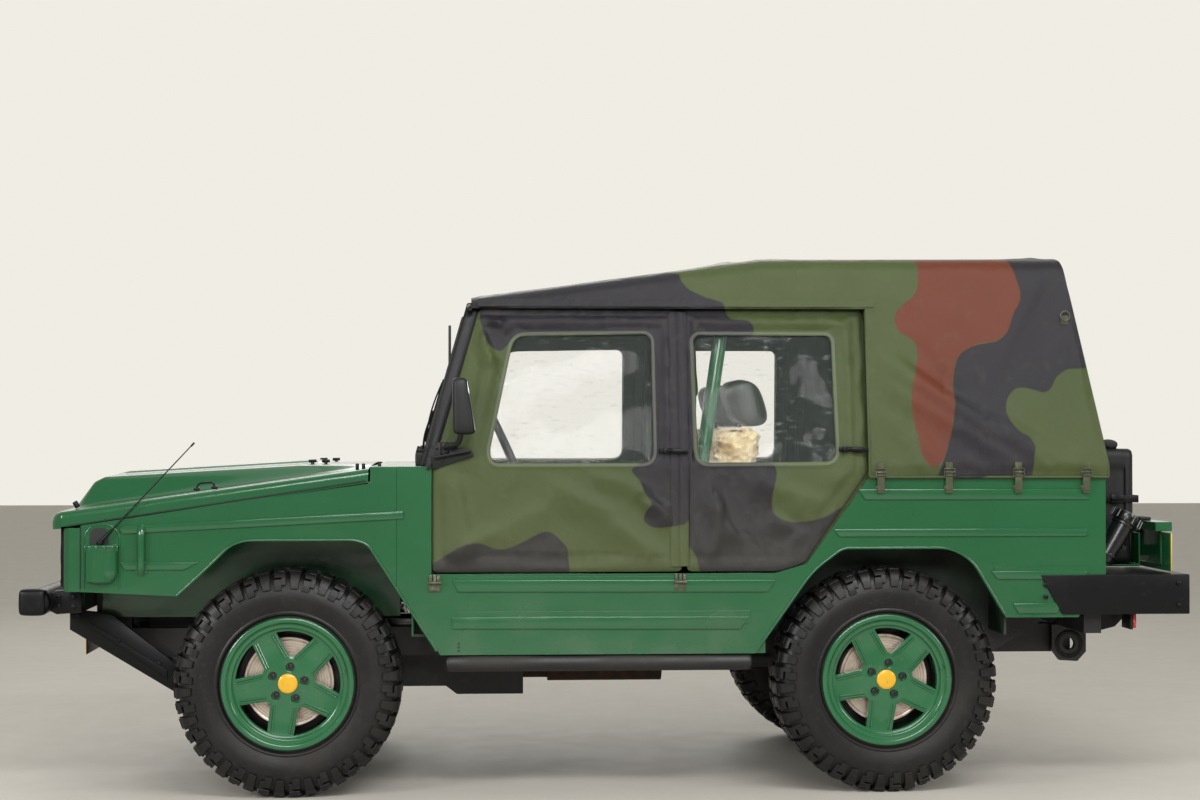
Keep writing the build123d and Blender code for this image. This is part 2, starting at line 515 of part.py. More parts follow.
side_points += [(REAR_AXLE_X + x, z) for x, z in reversed(REAR_ARCH)]
side_points += [(FRONT_AXLE_X + ARCH[0][0], SILL_Z), (FENDER_REAR_X, arch_at_post)]
body_side = side_prism(side_points, (HALF - SKIN, HALF))
body_side += block((RISER_X + 15, DOOR_FRONT_X - 20), (SILL_IN, HALF - SKIN + 1), (SILL_Z, DOOR_LOW_Z - 120))
body_side += block((BODY_REAR_X + SKIN, DOOR_REAR_X - 20), (HALF - SKIN - 24, HALF - SKIN + 1),
                   (TUB_TOP_Z - SKIN, TUB_TOP_Z))
body_side += arch_lip([(REAR_AXLE_X + x, z) for x, z in REAR_ARCH[1:]])
RIB = 4.0
RIBS = [  # (front x, rear x, low z, high z)
    (DOOR_FRONT_X - 80, REAR_AXLE_X + 389, 700, 735), (DOOR_FRONT_X - 80, REAR_AXLE_X + 469, 575, 618),
    (DOOR_REAR_X - 25, BODY_REAR_X + 55, 990, 1022), (DOOR_REAR_X + 70, BODY_REAR_X + 60, 868, 892),
    (REAR_AXLE_X - 365, BODY_REAR_X + 60, 740, 762)]
for front, rear, low, high in RIBS:
    body_side += block((rear, front), (HALF - 1, HALF + RIB), (low, high))
save("body_sides", both_sides(body_side))

# ---- tail --------------------------------------------------------------------------------------
TAILGATE_LEFT = 120.0
TAILGATE_RIGHT = -660.0
TAILGATE_LOW_Z = 786.0
TAIL_LOW_Z = DOOR_LOW_Z - 24
rear_wall = block((BODY_REAR_X, BODY_REAR_X + SKIN), (-HALF + SKIN, HALF - SKIN), (TAIL_LOW_Z, TUB_TOP_Z))
rear_wall -= block((BODY_REAR_X - 1, BODY_REAR_X + SKIN + 1), (TAILGATE_RIGHT - GAP, TAILGATE_LEFT + GAP),
                   (TAILGATE_LOW_Z - GAP, TUB_TOP_Z + 1))
rear_wall += block((BODY_REAR_X, BODY_REAR_X + SKIN), (-HALF + 60, HALF - 60), (QUARTER_LOW_Z + 5, TAIL_LOW_Z))
CAN = {"x": (BODY_REAR_X - 182, BODY_REAR_X - 17), "y": (170, 515), "z": (DOOR_LOW_Z + 6, 1190)}
tray = block((CAN["x"][0] - 10, BODY_REAR_X), (CAN["y"][0] - 10, CAN["y"][1] + 10), (CAN["z"][0] - 8, CAN["z"][0]))
tray += block((CAN["x"][0] - 10, CAN["x"][0] - 4), (CAN["y"][0] - 10, CAN["y"][1] + 10),
              (CAN["z"][0] - 8, CAN["z"][0] + 110))
PLATE_X = BODY_REAR_X - 244
PLATE_PIECES = [  # (x, y, z) of the arm, the blank plate, its backing, the bar over it, the post
    ((PLATE_X + 4, CAN["x"][0] - 4), (300, 330), (CAN["z"][0] + 20, CAN["z"][0] + 60)),
    ((PLATE_X - 4, PLATE_X), (170, 690), (740, 872)), ((PLATE_X, PLATE_X + 4), (260, 600), (760, 880)),
    ((PLATE_X - 24, PLATE_X + 34), (250, 640), (876, 908)),
    ((PLATE_X, PLATE_X + 30), (290, 340), (CAN["z"][0] + 20, 881))]
plate_bar = Part()
for x, y, z in PLATE_PIECES:
    plate_bar += block(x, y, z)
rear_wall += tray + plate_bar
save("rear_panel", rear_wall)

TAILGATE_WALL = 26.0
gate = block((BODY_REAR_X, BODY_REAR_X + TAILGATE_WALL), (TAILGATE_RIGHT, TAILGATE_LEFT),
             (TAILGATE_LOW_Z, TUB_TOP_Z - 2))
save("tailgate", gate)

can = block((CAN["x"][0], CAN["x"][1]), CAN["y"], (CAN["z"][0], CAN["z"][1] - 28))
can = fillet(can.edges().filter_by(Axis.Z), 38)
handles = block((CAN["x"][0] + 40, CAN["x"][1] - 40), (CAN["y"][0] + 70, CAN["y"][0] + 225),
                (CAN["z"][1] - 29, CAN["z"][1]))
handles -= block((CAN["x"][0] + 39, CAN["x"][1] - 39), (CAN["y"][0] + 85, CAN["y"][0] + 210),
                 (CAN["z"][1] - 28, CAN["z"][1] - 12))
spout = rod((BODY_REAR_X - 100, CAN["y"][1] - 60, CAN["z"][1] - 29),
            (BODY_REAR_X - 100, CAN["y"][1] - 40, CAN["z"][1] - 6), 26)
save("jerry_can", can + handles + spout)

NECK_Y = HALF - 100
neck_start = (BODY_REAR_X - 18, NECK_Y, 778)
neck_end = (BODY_REAR_X - 112, NECK_Y, 940)
neck = rod(neck_start, neck_end, 38) + rod(
    tuple(a + (b - a) * 0.86 for a, b in zip(neck_start, neck_end)), neck_end, 43)
neck += block((BODY_REAR_X - 30, BODY_REAR_X), (NECK_Y - 45, NECK_Y + 45), (745, 850))
neck -= block((BODY_REAR_X, BODY_REAR_X + 100), (NECK_Y - 60, NECK_Y + 60), (700, 900))
save("filler_neck", neck)

BUMPER_IN = 340.0
BUMPER_OUT = HALF + 8
BUMPER_LOW_Z = 600.0
BUMPER_TOP_Z = 735.0
TAIL_X = REAR_AXLE_X - REAR_OVERHANG
box = side_prism([(REAR_AXLE_X - 522, BUMPER_TOP_Z), (REAR_AXLE_X - 598, BUMPER_LOW_Z), (TAIL_X, BUMPER_LOW_Z),
                  (TAIL_X, BUMPER_TOP_Z)], (BUMPER_IN, BUMPER_OUT))
box -= block((BODY_REAR_X - 8, REAR_AXLE_X), (BUMPER_IN - 1, HALF + 1), (BUMPER_LOW_Z - 1, BUMPER_TOP_Z + 1))
box += side_prism([(BODY_REAR_X - 8, BUMPER_LOW_Z + 2), (BODY_REAR_X - 8, 520), (BODY_REAR_X - 90, 540),
                   (BODY_REAR_X - 150, BUMPER_LOW_Z + 2)], (420, 560))
save("rear_bumpers", both_sides(box))
lamp_box = block((BODY_REAR_X - 124, BODY_REAR_X - 100), (600, 700), (BUMPER_LOW_Z - 58, BUMPER_LOW_Z))
save("rear_lamps", both_sides(lamp_box))

# ---- front bumper, skid plate, side steps ------------------------------------------------------
BUMPER_RADIUS = 45.0
BUMPER_X = FRONT_AXLE_X + FRONT_OVERHANG - BUMPER_RADIUS
BUMPER_Z = 650.0
BUMPER_END = 690.0
tube = rod((BUMPER_X, -BUMPER_END + 20, BUMPER_Z), (BUMPER_X, BUMPER_END - 20, BUMPER_Z), BUMPER_RADIUS)
tube += both_sides(Pos(BUMPER_X, BUMPER_END - 20, BUMPER_Z) * Rot(-90, 0, 0)
                   * Cone(BUMPER_RADIUS, BUMPER_RADIUS - 18, 20, align=(Align.CENTER, Align.CENTER, Align.MIN)))
tube += both_sides(block((HORN_FRONT_X, BUMPER_X - 20), (560, 625), (BEAM_LOW_Z, BEAM_TOP_Z + 6)))
tube += block((HORN_FRONT_X, HORN_FRONT_X + 36), (-600, 600), (BEAM_LOW_Z, BEAM_TOP_Z))
save("front_bumper", tube)

SKID_HALF = 390.0
SKID_REAR_X = FRONT_AXLE_X + 400
SKID_FRONT_X = FRONT_AXLE_X + 780
SKID_ENDS_Z = (304.0, 534.0)   # lower face at the rear and front ends
SKID_FLOOR = 14.0


def skid_z(x):
    return between(x, (SKID_REAR_X, SKID_ENDS_Z[0]), (SKID_FRONT_X, SKID_ENDS_Z[1]))


skid = side_prism([(SKID_FRONT_X, BEAM_LOW_Z - 4), (SKID_REAR_X + 240, BEAM_LOW_Z - 20), (SKID_REAR_X, 402),
                   (SKID_REAR_X, SKID_ENDS_Z[0]), (SKID_FRONT_X, SKID_ENDS_Z[1])], (-SKID_HALF, SKID_HALF))
skid -= side_prism([(x, skid_z(x) + SKID_FLOOR) for x in (SKID_REAR_X - 1, SKID_FRONT_X + 1)]
                   + [(SKID_FRONT_X + 1, BEAM_LOW_Z), (SKID_REAR_X - 1, BEAM_LOW_Z)],
                   (-SKID_HALF + SKIN, SKID_HALF - SKIN))
PLATE_FRONT_X = FRONT_AXLE_X + 746
skid += block((PLATE_FRONT_X - 4, PLATE_FRONT_X), (-260, 260), (435, skid_z(PLATE_FRONT_X) + 2))
save("skid_plate", skid)

STEP_RADIUS = 28.5
STEP_Z = SILL_Z - STEP_RADIUS
STEP_Y = HALF - 20
step_front, step_rear = DOOR_FRONT_X - 40, RISER_X + 60
step = rod((step_rear, STEP_Y, STEP_Z), (step_front, STEP_Y, STEP_Z), STEP_RADIUS)
step = fillet(step.edges().filter_by(GeomType.CIRCLE), 14)
for station in (step_front - 120, (step_front + step_rear) / 2, step_rear + 120):
    step += block((station - 20, station + 20), (RAIL_OUT, STEP_Y), (RAIL_LOW_Z, RAIL_LOW_Z + 26))
save("side_steps", both_sides(step))

# ---- under the tub: tank and exhaust -----------------------------------------------------------
tank = side_prism([(REAR_AXLE_X - 150, QUARTER_LOW_Z + 20), (REAR_AXLE_X - 150, 440), (REAR_AXLE_X - 380, 420),
                   (REAR_AXLE_X - 600, 556), (REAR_AXLE_X - 600, QUARTER_LOW_Z + 20)],
                  (RAIL_OUT + 6, HOUSE_IN - 6))
save("fuel_tank", tank)
PIPE_Y = -205.0
PIPE_Z = 356.0
exhaust = pipe([(ENGINE_REAR_X + 60, PIPE_Y, 395), (ENGINE_REAR_X + 60, PIPE_Y, PIPE_Z - 40),
                (FRONT_AXLE_X - 900, PIPE_Y, PIPE_Z - 40)], 24, 70)
exhaust += rod((FRONT_AXLE_X - 900, PIPE_Y, PIPE_Z), (REAR_AXLE_X + 687, PIPE_Y, PIPE_Z), 76)
exhaust += pipe([(REAR_AXLE_X + 697, PIPE_Y, PIPE_Z), (REAR_AXLE_X + 537, PIPE_Y, PIPE_Z),
                 (REAR_AXLE_X + 537, -HALF + 20, PIPE_Z)], 24, 90)
save("exhaust", exhaust)

# ---- doors: each a canvas-covered frame with its window cut, and the clear pane ----------------
LEAN_TOP_Y = HALF - 95


def door_y(z):
    """Outer face of the doors: upright to the belt, then leaning in."""
    return HALF if z <= BELT_Z else between(z, (BELT_Z, HALF), (DOOR_TOP_Z, LEAN_TOP_Y))


SCREEN_LEAN = (FRONT_AXLE_X - 490, FRONT_AXLE_X - 644)   # door's front edge at the belt and at its top
FRONT_WINDOW = [(FRONT_AXLE_X - 684, 1120), (FRONT_AXLE_X - 672, 1152), (FRONT_AXLE_X - 755, 1546),
                (DOOR_SPLIT_X + 123, 1552), (DOOR_SPLIT_X + 109, 1536), (DOOR_SPLIT_X + 106, 1116)]
REAR_WINDOW = [(DOOR_SPLIT_X - 44, 1116), (DOOR_SPLIT_X - 38, 1536), (DOOR_SPLIT_X - 50, 1549),
               (DOOR_REAR_X + 116, 1549), (DOOR_REAR_X + 104, 1536), (DOOR_REAR_X + 97, 1120)]
PANE = 4.0


def door(lower, upper, window):
    panel = side_prism(lower, (HALF - DOOR_WALL, HALF)) + leaning_panel(upper, door_y, DOOR_WALL)
    return panel - leaning_panel(window, lambda z: door_y(z) + 20, DOOR_WALL + 60)


def pane(window):
    return leaning_panel(window, lambda z: door_y(z) - DOOR_WALL / 2, PANE)


FRONT_DOOR_REAR_X = DOOR_SPLIT_X + SWING_GAP / 2
REAR_DOOR_FRONT_X = DOOR_SPLIT_X - SWING_GAP / 2
front_lower = [(DOOR_FRONT_X, DOOR_LOW_Z + 22), (DOOR_FRONT_X, 1090), (SCREEN_LEAN[0], BELT_Z),
               (FRONT_DOOR_REAR_X, BELT_Z), (FRONT_DOOR_REAR_X, DOOR_LOW_Z),
               (DOOR_FRONT_X - 20, DOOR_LOW_Z)]
front_upper = [(SCREEN_LEAN[0], BELT_Z), (SCREEN_LEAN[1], DOOR_TOP_Z), (FRONT_DOOR_REAR_X, DOOR_TOP_Z),
               (FRONT_DOOR_REAR_X, BELT_Z)]
rear_lower = [(REAR_DOOR_FRONT_X, DOOR_LOW_Z), (REAR_DOOR_FRONT_X, BELT_Z), (DOOR_REAR_X, BELT_Z),
              door_slope_top, DOOR_CORNER[1], DOOR_CORNER[0]]
rear_upper = [(REAR_DOOR_FRONT_X, BELT_Z), (REAR_DOOR_FRONT_X, DOOR_TOP_Z), (DOOR_REAR_X + 5, DOOR_TOP_Z),
              (DOOR_REAR_X, BELT_Z)]
DOORS = {"front": (front_lower, front_upper, FRONT_WINDOW), "rear": (rear_lower, rear_upper, REAR_WINDOW)}
for place, (lower, upper, window) in DOORS.items():
    for side in SIDES:
        turned = mirrored if side == "right" else (lambda shape: shape)
        save(f"door_{place}_{side}", turned(door(lower, upper, window)))
        save(f"door_pane_{place}_{side}", turned(pane(window)))

MIRROR_X = (FRONT_AXLE_X - 645, FRONT_AXLE_X - 560)
MIRROR_Y = (HALF + 30, HALF + 155)
MIRROR_Z = (1205, 1405)
head = block(MIRROR_X, MIRROR_Y, MIRROR_Z)
head = fillet(head.edges().filter_by(Axis.X), 26)
stalk = side_prism([(DOOR_FRONT_X - 12, BELT_Z + 2), (DOOR_FRONT_X - 40, 1180), (DOOR_FRONT_X - 55, 1180),
                    (DOOR_FRONT_X - 135, 1150), (DOOR_FRONT_X - 120, BELT_Z + 2)], (HALF - 4, HALF + 6))
stalk = stalk + side_prism([(DOOR_FRONT_X - 12, BELT_Z - 20), (DOOR_FRONT_X - 12, BELT_Z + 2),
                            (DOOR_FRONT_X - 120, BELT_Z + 2), (DOOR_FRONT_X - 120, BELT_Z - 20)], (HALF, HALF + 6))
stalk += rod((DOOR_FRONT_X - 100, HALF, 1165), (DOOR_FRONT_X - 110, HALF + 50, 1240), 11)
wing_mirror = head + stalk
wing_mirror -= side_prism(front_lower, (HALF - DOOR_WALL, HALF))
wing_mirror -= leaning_panel(front_upper, door_y, DOOR_WALL)
for side in SIDES:
    save(f"mirror_{side}", wing_mirror if side == "left" else mirrored(wing_mirror))

# ---- windscreen --------------------------------------------------------------------------------
SCREEN_LOW_X = FRONT_AXLE_X - 440
SCREEN_TOP_X = FRONT_AXLE_X - 596
SCREEN_TOP_Z = 1660.0
SCREEN_LOW_HALF = HALF - 38
SCREEN_TOP_HALF = LEAN_TOP_Y - 30
SCREEN_BAR = 46.0
SCREEN_DEPTH = 32.0


def screen_x(z):
    return between(z, (COWL_Z, SCREEN_LOW_X), (SCREEN_TOP_Z, SCREEN_TOP_X))


def screen_panel(bar, depth, back):
    """A flat panel in the leaning plane of the windscreen, its edge bar inside the frame's edge."""
    low_z, top_z = COWL_Z + bar, SCREEN_TOP_Z - bar
    low_half = between(low_z, (COWL_Z, SCREEN_LOW_HALF), (SCREEN_TOP_Z, SCREEN_TOP_HALF)) - bar
    top_half = between(top_z, (COWL_Z, SCREEN_LOW_HALF), (SCREEN_TOP_Z, SCREEN_TOP_HALF)) - bar
    corners = [(low_half, low_z), (top_half, top_z), (-top_half, top_z), (-low_half, low_z)]
    face = Face(Wire.make_polygon([Vector(screen_x(z) - back, y, z) for y, z in corners]))
    return Part() + Solid.extrude(face, Vector(-depth, 0, 0))


save("windscreen_frame", screen_panel(0, SCREEN_DEPTH, 0) - screen_panel(SCREEN_BAR, SCREEN_DEPTH + 20, -10))
save("windscreen_glass", screen_panel(SCREEN_BAR, 6, 13))
wiper_foot_z = COWL_Z + SCREEN_BAR + 8
wiper_tip_z = wiper_foot_z + 250
wipers = Part()
for foot_y in (-90, 430):
    foot = (screen_x(wiper_foot_z) + 10, foot_y, wiper_foot_z)
    tip = (screen_x(wiper_tip_z) - 2, foot_y + 120, wiper_tip_z)
    motor = block((SCREEN_LOW_X - 16, SCREEN_LOW_X + 14), (foot_y - 14, foot_y + 14), (COWL_Z, wiper_foot_z + 6))
    motor -= screen_panel(0, SCREEN_DEPTH, 0)
    wipers += rod(foot, tip, 6) + motor
save("wipers", wipers)

# ---- roof: canvas over a hoop and two bows -----------------------------------------------------
HEM_Z = TUB_TOP_Z - 10
HEM_CLEAR = 2.0
CANVAS_X = (FRONT_AXLE_X - 596, BODY_REAR_X - 90)
PEAK_X = RISER_X + 15
SHOULDER_HALF = LEAN_TOP_Y - 22
SHOULDER_DROP = 38.0
ROOF = [  # (x, shoulder z) rear to front
    (CANVAS_X[1], ROOF_REAR_Z + 2), (PEAK_X, ROOF_PEAK_Z), (CANVAS_X[0], ROOF_FRONT_Z)]


def roof_z(x):
    """Shoulder line of the canvas between its highest point and its rear end."""
    return between(x, (PEAK_X, ROOF_PEAK_Z), (CANVAS_X[1], ROOF_REAR_Z + 2))


def canvas_volume(inset):
    wide = HALF + HEM_CLEAR + CANVAS - inset
    sections = []
    for x, shoulder in ROOF:
        half = SHOULDER_HALF + CANVAS - inset
        top = shoulder - inset
        right = [(wide, BELT_Z - 107), (wide, BELT_Z), (half + 28, top - SHOULDER_DROP), (half, top - 8),
                 (half - 60, top + 4)]
        left = [(-y, z) for y, z in reversed(right)]
        sections.append((x, right + [(0, top + ROOF_CROWN)] + left))
    low_z, high_z = BELT_Z - 207, ROOF_REAR_Z + 83
    tail = side_prism([(BODY_REAR_X - HEM_CLEAR - CANVAS + inset, low_z),
                       (BODY_REAR_X - HEM_CLEAR - CANVAS + inset, BELT_Z),
                       (REAR_AXLE_X - 648 + inset, ROOF_REAR_Z - 137),
                       (REAR_AXLE_X - 624 + inset, ROOF_REAR_Z - 5), (REAR_AXLE_X - 600 + inset, high_z),
                       (CANVAS_X[0] + 50, high_z), (CANVAS_X[0] + 50, low_z)],
                      (-HALF - 50, HALF + 50))
    return skinned_loft(sections) & tail


canvas = canvas_volume(0) - canvas_volume(CANVAS)
canvas -= block((BODY_REAR_X - 300, NOSE_X), (-HALF - 60, HALF + 60), (800, HEM_Z))
canvas -= block((DOOR_REAR_X - SWING_GAP - 4, NOSE_X), (-HALF - 60, HALF + 60), (800, DOOR_TOP_Z + GAP))
canvas -= block((BODY_REAR_X - 60, BODY_REAR_X + 60), (TAILGATE_RIGHT - GAP, TAILGATE_LEFT + GAP),
                (800, TUB_TOP_Z + GAP))
PANE_BACK = {"y": (-420, 420), "z": (1230, 1600)}
canvas -= block((BODY_REAR_X - 60, REAR_AXLE_X - 500), PANE_BACK["y"], PANE_BACK["z"])
back_pane = canvas_volume(2.5) - canvas_volume(6.5)
back_pane &= block((BODY_REAR_X - 60, REAR_AXLE_X - 500), PANE_BACK["y"], PANE_BACK["z"])
save("canvas_top", canvas)
save("rear_window", back_pane)

HOOP = 24.0
hoop_y = SHOULDER_HALF - 40
HOOP_FOOT_X = RISER_X + 217
HOOP_TOP_X = RISER_X + 117
HOOP_TOP_Z = ROOF_PEAK_Z - 50
bows = pipe([(HOOP_FOOT_X, hoop_y + 20, FLOOR_Z + SHEET), (HOOP_FOOT_X, hoop_y + 20, BELT_Z),
             (HOOP_TOP_X, hoop_y - 20, HOOP_TOP_Z), (HOOP_TOP_X, -hoop_y + 20, HOOP_TOP_Z),
             (HOOP_FOOT_X, -hoop_y - 20, BELT_Z), (HOOP_FOOT_X, -hoop_y - 20, FLOOR_Z + SHEET)], HOOP, 70)
BOW_X = REAR_AXLE_X - 560
BOW_RADIUS = 14.0
bow_y = SHOULDER_HALF - 36
bow_z = roof_z(BOW_X) - 30
tail_y = HALF - SKIN - 40
bows += pipe([(BOW_X, tail_y, LOAD_FLOOR_Z), (BOW_X, tail_y, BELT_Z), (BOW_X, bow_y, bow_z), (BOW_X, -bow_y, bow_z),
              (BOW_X, -tail_y, BELT_Z), (BOW_X, -tail_y, LOAD_FLOOR_Z)], BOW_RADIUS, 60)
save("roll_hoop", bows)

# ---- cabin -------------------------------------------------------------------------------------
DASH_Y = HALF - 70
dash = side_prism([(DASH_WALL_X - SHEET, 930), (DASH_WALL_X - SHEET, COWL_Z - 22), (DOOR_FRONT_X - 110, COWL_Z - 22),
                   (DOOR_FRONT_X - 150, COWL_Z - 60), (DOOR_FRONT_X - 120, 930)], (-DASH_Y, DASH_Y))
DRIVER_Y = 370.0
WHEEL_TILT = math.radians(24)
rim_centre = Vector(FRONT_AXLE_X - 770, DRIVER_Y, 1086)
column_dir = Vector(-math.cos(WHEEL_TILT), 0, math.sin(WHEEL_TILT))
column_end = rim_centre - column_dir * 36
column_start = column_end - column_dir * 200
dash += rod(tuple(column_start), tuple(column_end), 22)
save("dashboard", dash)
STEER_RADIUS = 195.0
turned_plane = Plane(origin=rim_centre, x_dir=(0, 1, 0), z_dir=column_dir)
ring = turned_plane * Torus(STEER_RADIUS, 13)
boss = turned_plane * (Pos(0, 0, -10) * Cylinder(34, 50))
spokes = turned_plane * (Box(2 * STEER_RADIUS, 34, 9) + Pos(0, -STEER_RADIUS / 2, 0) * Box(34, STEER_RADIUS, 9))
save("steering_wheel", ring + boss + spokes)

SEAT_Y = (130, 610)
SEAT_Z = (820, 910)
SEAT_X = (RISER_X + 117, FRONT_AXLE_X - 1020)
BACK_TOP_Z = 1235.0
seat = block(SEAT_X, SEAT_Y, SEAT_Z)
seat += block((SEAT_X[0] + 20, SEAT_X[1] - 40), (SEAT_Y[0] + 30, SEAT_Y[1] - 30), (FLOOR_Z + SHEET, SEAT_Z[0]))
seat += side_prism([(SEAT_X[0] + 80, SEAT_Z[1] - 20), (SEAT_X[0], BACK_TOP_Z), (SEAT_X[0] - 90, BACK_TOP_Z),
                    (SEAT_X[0] - 20, SEAT_Z[1] - 20)], (SEAT_Y[0], SEAT_Y[1] - 30))
seat -= pipe([(HOOP_FOOT_X, hoop_y + 20, FLOOR_Z), (HOOP_FOOT_X, hoop_y + 20, BELT_Z),
              (HOOP_TOP_X, hoop_y - 20, HOOP_TOP_Z)], HOOP + 8, 70)
rests = [rod((SEAT_X[0] - 60, y, BACK_TOP_Z - 1), (SEAT_X[0] - 75, y, BACK_TOP_Z + 45), 7) for y in (310, 430)]
pad = block((SEAT_X[0] - 135, SEAT_X[0] - 25), (245, 495), (BACK_TOP_Z + 11, BACK_TOP_Z + 175))
pad = fillet(pad.edges().filter_by(Axis.X), 40)
seats = both_sides(seat + rests[0] + rests[1] + pad)
BENCH_Y = (-HOUSE_IN + 8, HOUSE_IN - 8)
BENCH_TOP_Z = 900.0
bench = block((REAR_AXLE_X - 470, REAR_AXLE_X + 20), BENCH_Y, (LOAD_FLOOR_Z, BENCH_TOP_Z))
bench += side_prism([(REAR_AXLE_X - 440, BENCH_TOP_Z - 20), (REAR_AXLE_X - 500, BENCH_TOP_Z + 290),
                     (REAR_AXLE_X - 530, BENCH_TOP_Z + 290), (REAR_AXLE_X - 520, BENCH_TOP_Z - 20)], BENCH_Y)
save("seats", seats)
save("rear_bench", bench)

ANTENNA_Y = HALF + 20
mast_foot = (POCKET_X - 4, ANTENNA_Y, POCKET_RIM_Z + 8)
mast_tip = (FRONT_AXLE_X + 305, ANTENNA_Y, 1184)
mast_step = tuple(a + (b - a) * 0.13 for a, b in zip(mast_foot, mast_tip))
socket = rod((POCKET_X, ANTENNA_Y, POCKET_RIM_Z), (POCKET_X, ANTENNA_Y, POCKET_RIM_Z + 14), 11)
save("antenna", socket + rod(mast_foot, mast_step, 7) + rod(mast_step, mast_tip, 3))
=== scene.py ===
import math

import bmesh
import bpy
import numpy as np
from mathutils import Matrix, Vector


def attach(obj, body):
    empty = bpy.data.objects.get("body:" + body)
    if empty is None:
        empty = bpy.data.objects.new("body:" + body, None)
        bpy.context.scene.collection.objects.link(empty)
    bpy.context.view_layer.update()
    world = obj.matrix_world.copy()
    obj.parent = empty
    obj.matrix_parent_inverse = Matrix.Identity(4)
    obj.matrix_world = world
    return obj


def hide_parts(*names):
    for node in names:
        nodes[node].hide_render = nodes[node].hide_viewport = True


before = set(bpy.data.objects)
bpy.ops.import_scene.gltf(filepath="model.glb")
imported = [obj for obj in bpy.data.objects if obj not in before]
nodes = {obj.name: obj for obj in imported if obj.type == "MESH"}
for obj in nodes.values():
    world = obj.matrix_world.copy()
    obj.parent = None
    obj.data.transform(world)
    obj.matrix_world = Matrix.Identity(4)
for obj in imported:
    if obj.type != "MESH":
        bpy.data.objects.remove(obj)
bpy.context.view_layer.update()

# ---- The place where the car stands --------------------------------
# A level pale floor under large soft lamps. The car is seen almost square from its left side,
# from chest height, through a long lens.
def in_scene(name, data):
    """A new object for a lens, a lamp or a curve, put into the scene."""
    made = bpy.data.objects.new(name, data)
    bpy.context.scene.collection.objects.link(made)
    return made


lens = bpy.data.cameras.new("side camera")
lens.lens = 64.5
camera = in_scene("side camera", lens)
camera.location = (0.487, 7.965, 1.206)
turn, rise = math.radians(3.5), math.radians(0.96)
heading = Vector((-math.sin(turn) * math.cos(rise), -math.cos(turn) * math.cos(rise), math.sin(rise)))
camera.rotation_euler = heading.to_track_quat("-Z", "Y").to_euler()
bpy.context.scene.camera = camera

bpy.context.scene.view_settings.view_transform = "Standard"

LAMPS = [  # name, place, aimed at, width, depth, watts
    ("over the roof", (0.4, 0.6, 5.4), (0.0, 0.0, 1.0), 6.0, 3.0, 34),
    ("over the near side", (-0.9, 4.4, 4.3), (0.0, 0.75, 0.9), 3.6, 0.9, 165),
    ("beside the front", (5.6, 5.2, 2.9), (0.6, 0.3, 0.8), 1.8, 1.8, 230),
    ("beside the tail", (-5.8, 4.4, 3.0), (-0.8, 0.3, 0.9), 1.8, 1.8, 120),
    ("behind the viewer", (0.2, 10.9, 4.3), (0.0, 0.75, 0.8), 5.0, 1.8, 370),
    ("far side", (0.5, -6.2, 3.6), (0.0, 0.0, 0.9), 5.0, 2.4, 70)]
for name, place, aim, width, depth, watts in LAMPS:
    light = bpy.data.lights.new(name, "AREA")
    light.shape = "RECTANGLE"
    light.size, light.size_y = width, depth
    light.energy = watts
    lamp = in_scene(name, light)
    lamp.location = place
    lamp.rotation_euler = (Vector(aim) - Vector(place)).to_track_quat("-Z", "Y").to_euler()


class Wire:
    """A shader socket that takes part in Python sums; node() adds any other kind of node."""

    def __init__(self, tree, socket=None):
        self.tree = tree
        self.socket = socket

    def node(self, kind, settings, inputs, output=0):
        made = self.tree.nodes.new("ShaderNode" + kind)
        for name, value in settings.items():
            setattr(made, name, value)
        for name, value in inputs.items():
            if isinstance(value, Wire):
                self.tree.links.new(value.socket, made.inputs[name])
            else:
                made.inputs[name].default_value = value
        return Wire(self.tree, made.outputs[output])

    def sum(self, operation, *values):
        return self.node("Math", {"operation": operation}, dict(enumerate(values)))

    def __add__(self, other):
        return self.sum("ADD", self, other)

    def __sub__(self, other):
        return self.sum("SUBTRACT", self, other)

    def __rsub__(self, other):
        return self.sum("SUBTRACT", other, self)

    def __mul__(self, other):
        return self.sum("MULTIPLY", self, other)

    __radd__ = __add__
    __rmul__ = __mul__

    def rise(self, low, high):
        """0 below low, 1 above high, smooth between them."""
        return self.node("MapRange", {"interpolation_type": "SMOOTHSTEP"},
                         {"Value": self, "From Min": low, "From Max": high})

    def mix(self, first, second):
        """The first colour where this mask is 0, the second where it is 1; screen codes will do."""
        first, second = (shade(c) if isinstance(c, str) else c for c in (first, second))
        return self.node("Mix", {"data_type": "RGBA"}, {0: self, 6: first, 7: second}, 2)

    def noise(self, scale, detail=2.0, rough=0.5):
        return self.node("TexNoise", {}, {"Vector": self, "Scale": scale, "Detail": detail,
                                          "Roughness": rough})

    def stretched(self, x, y, z):
        return self.node("Mapping", {}, {"Vector": self, "Scale": (x, y, z)})

    def axis(self, letter):
        return self.node("SeparateXYZ", {}, {0: self}, "XYZ".index(letter))

    def wave(self, way, scale, distortion, detail=2.0):
        """Soft bands across an axis, or along the diagonal."""
        return self.node("TexWave", {"bands_direction": way},
                         {"Vector": self, "Scale": scale, "Distortion": distortion, "Detail": detail})

    def bump(self, depth):
        return self.node("Bump", {}, {"Height": self, "Distance": depth, "Strength": 1.0})


def shade(code):
    """A colour from its screen code, such as 2d6b42."""
    parts = [int(code[i:i + 2], 16) / 255 for i in (0, 2, 4)]
    return (*(p / 12.92 if p <= 0.04045 else ((p + 0.055) / 1.055) ** 2.4 for p in parts), 1.0)


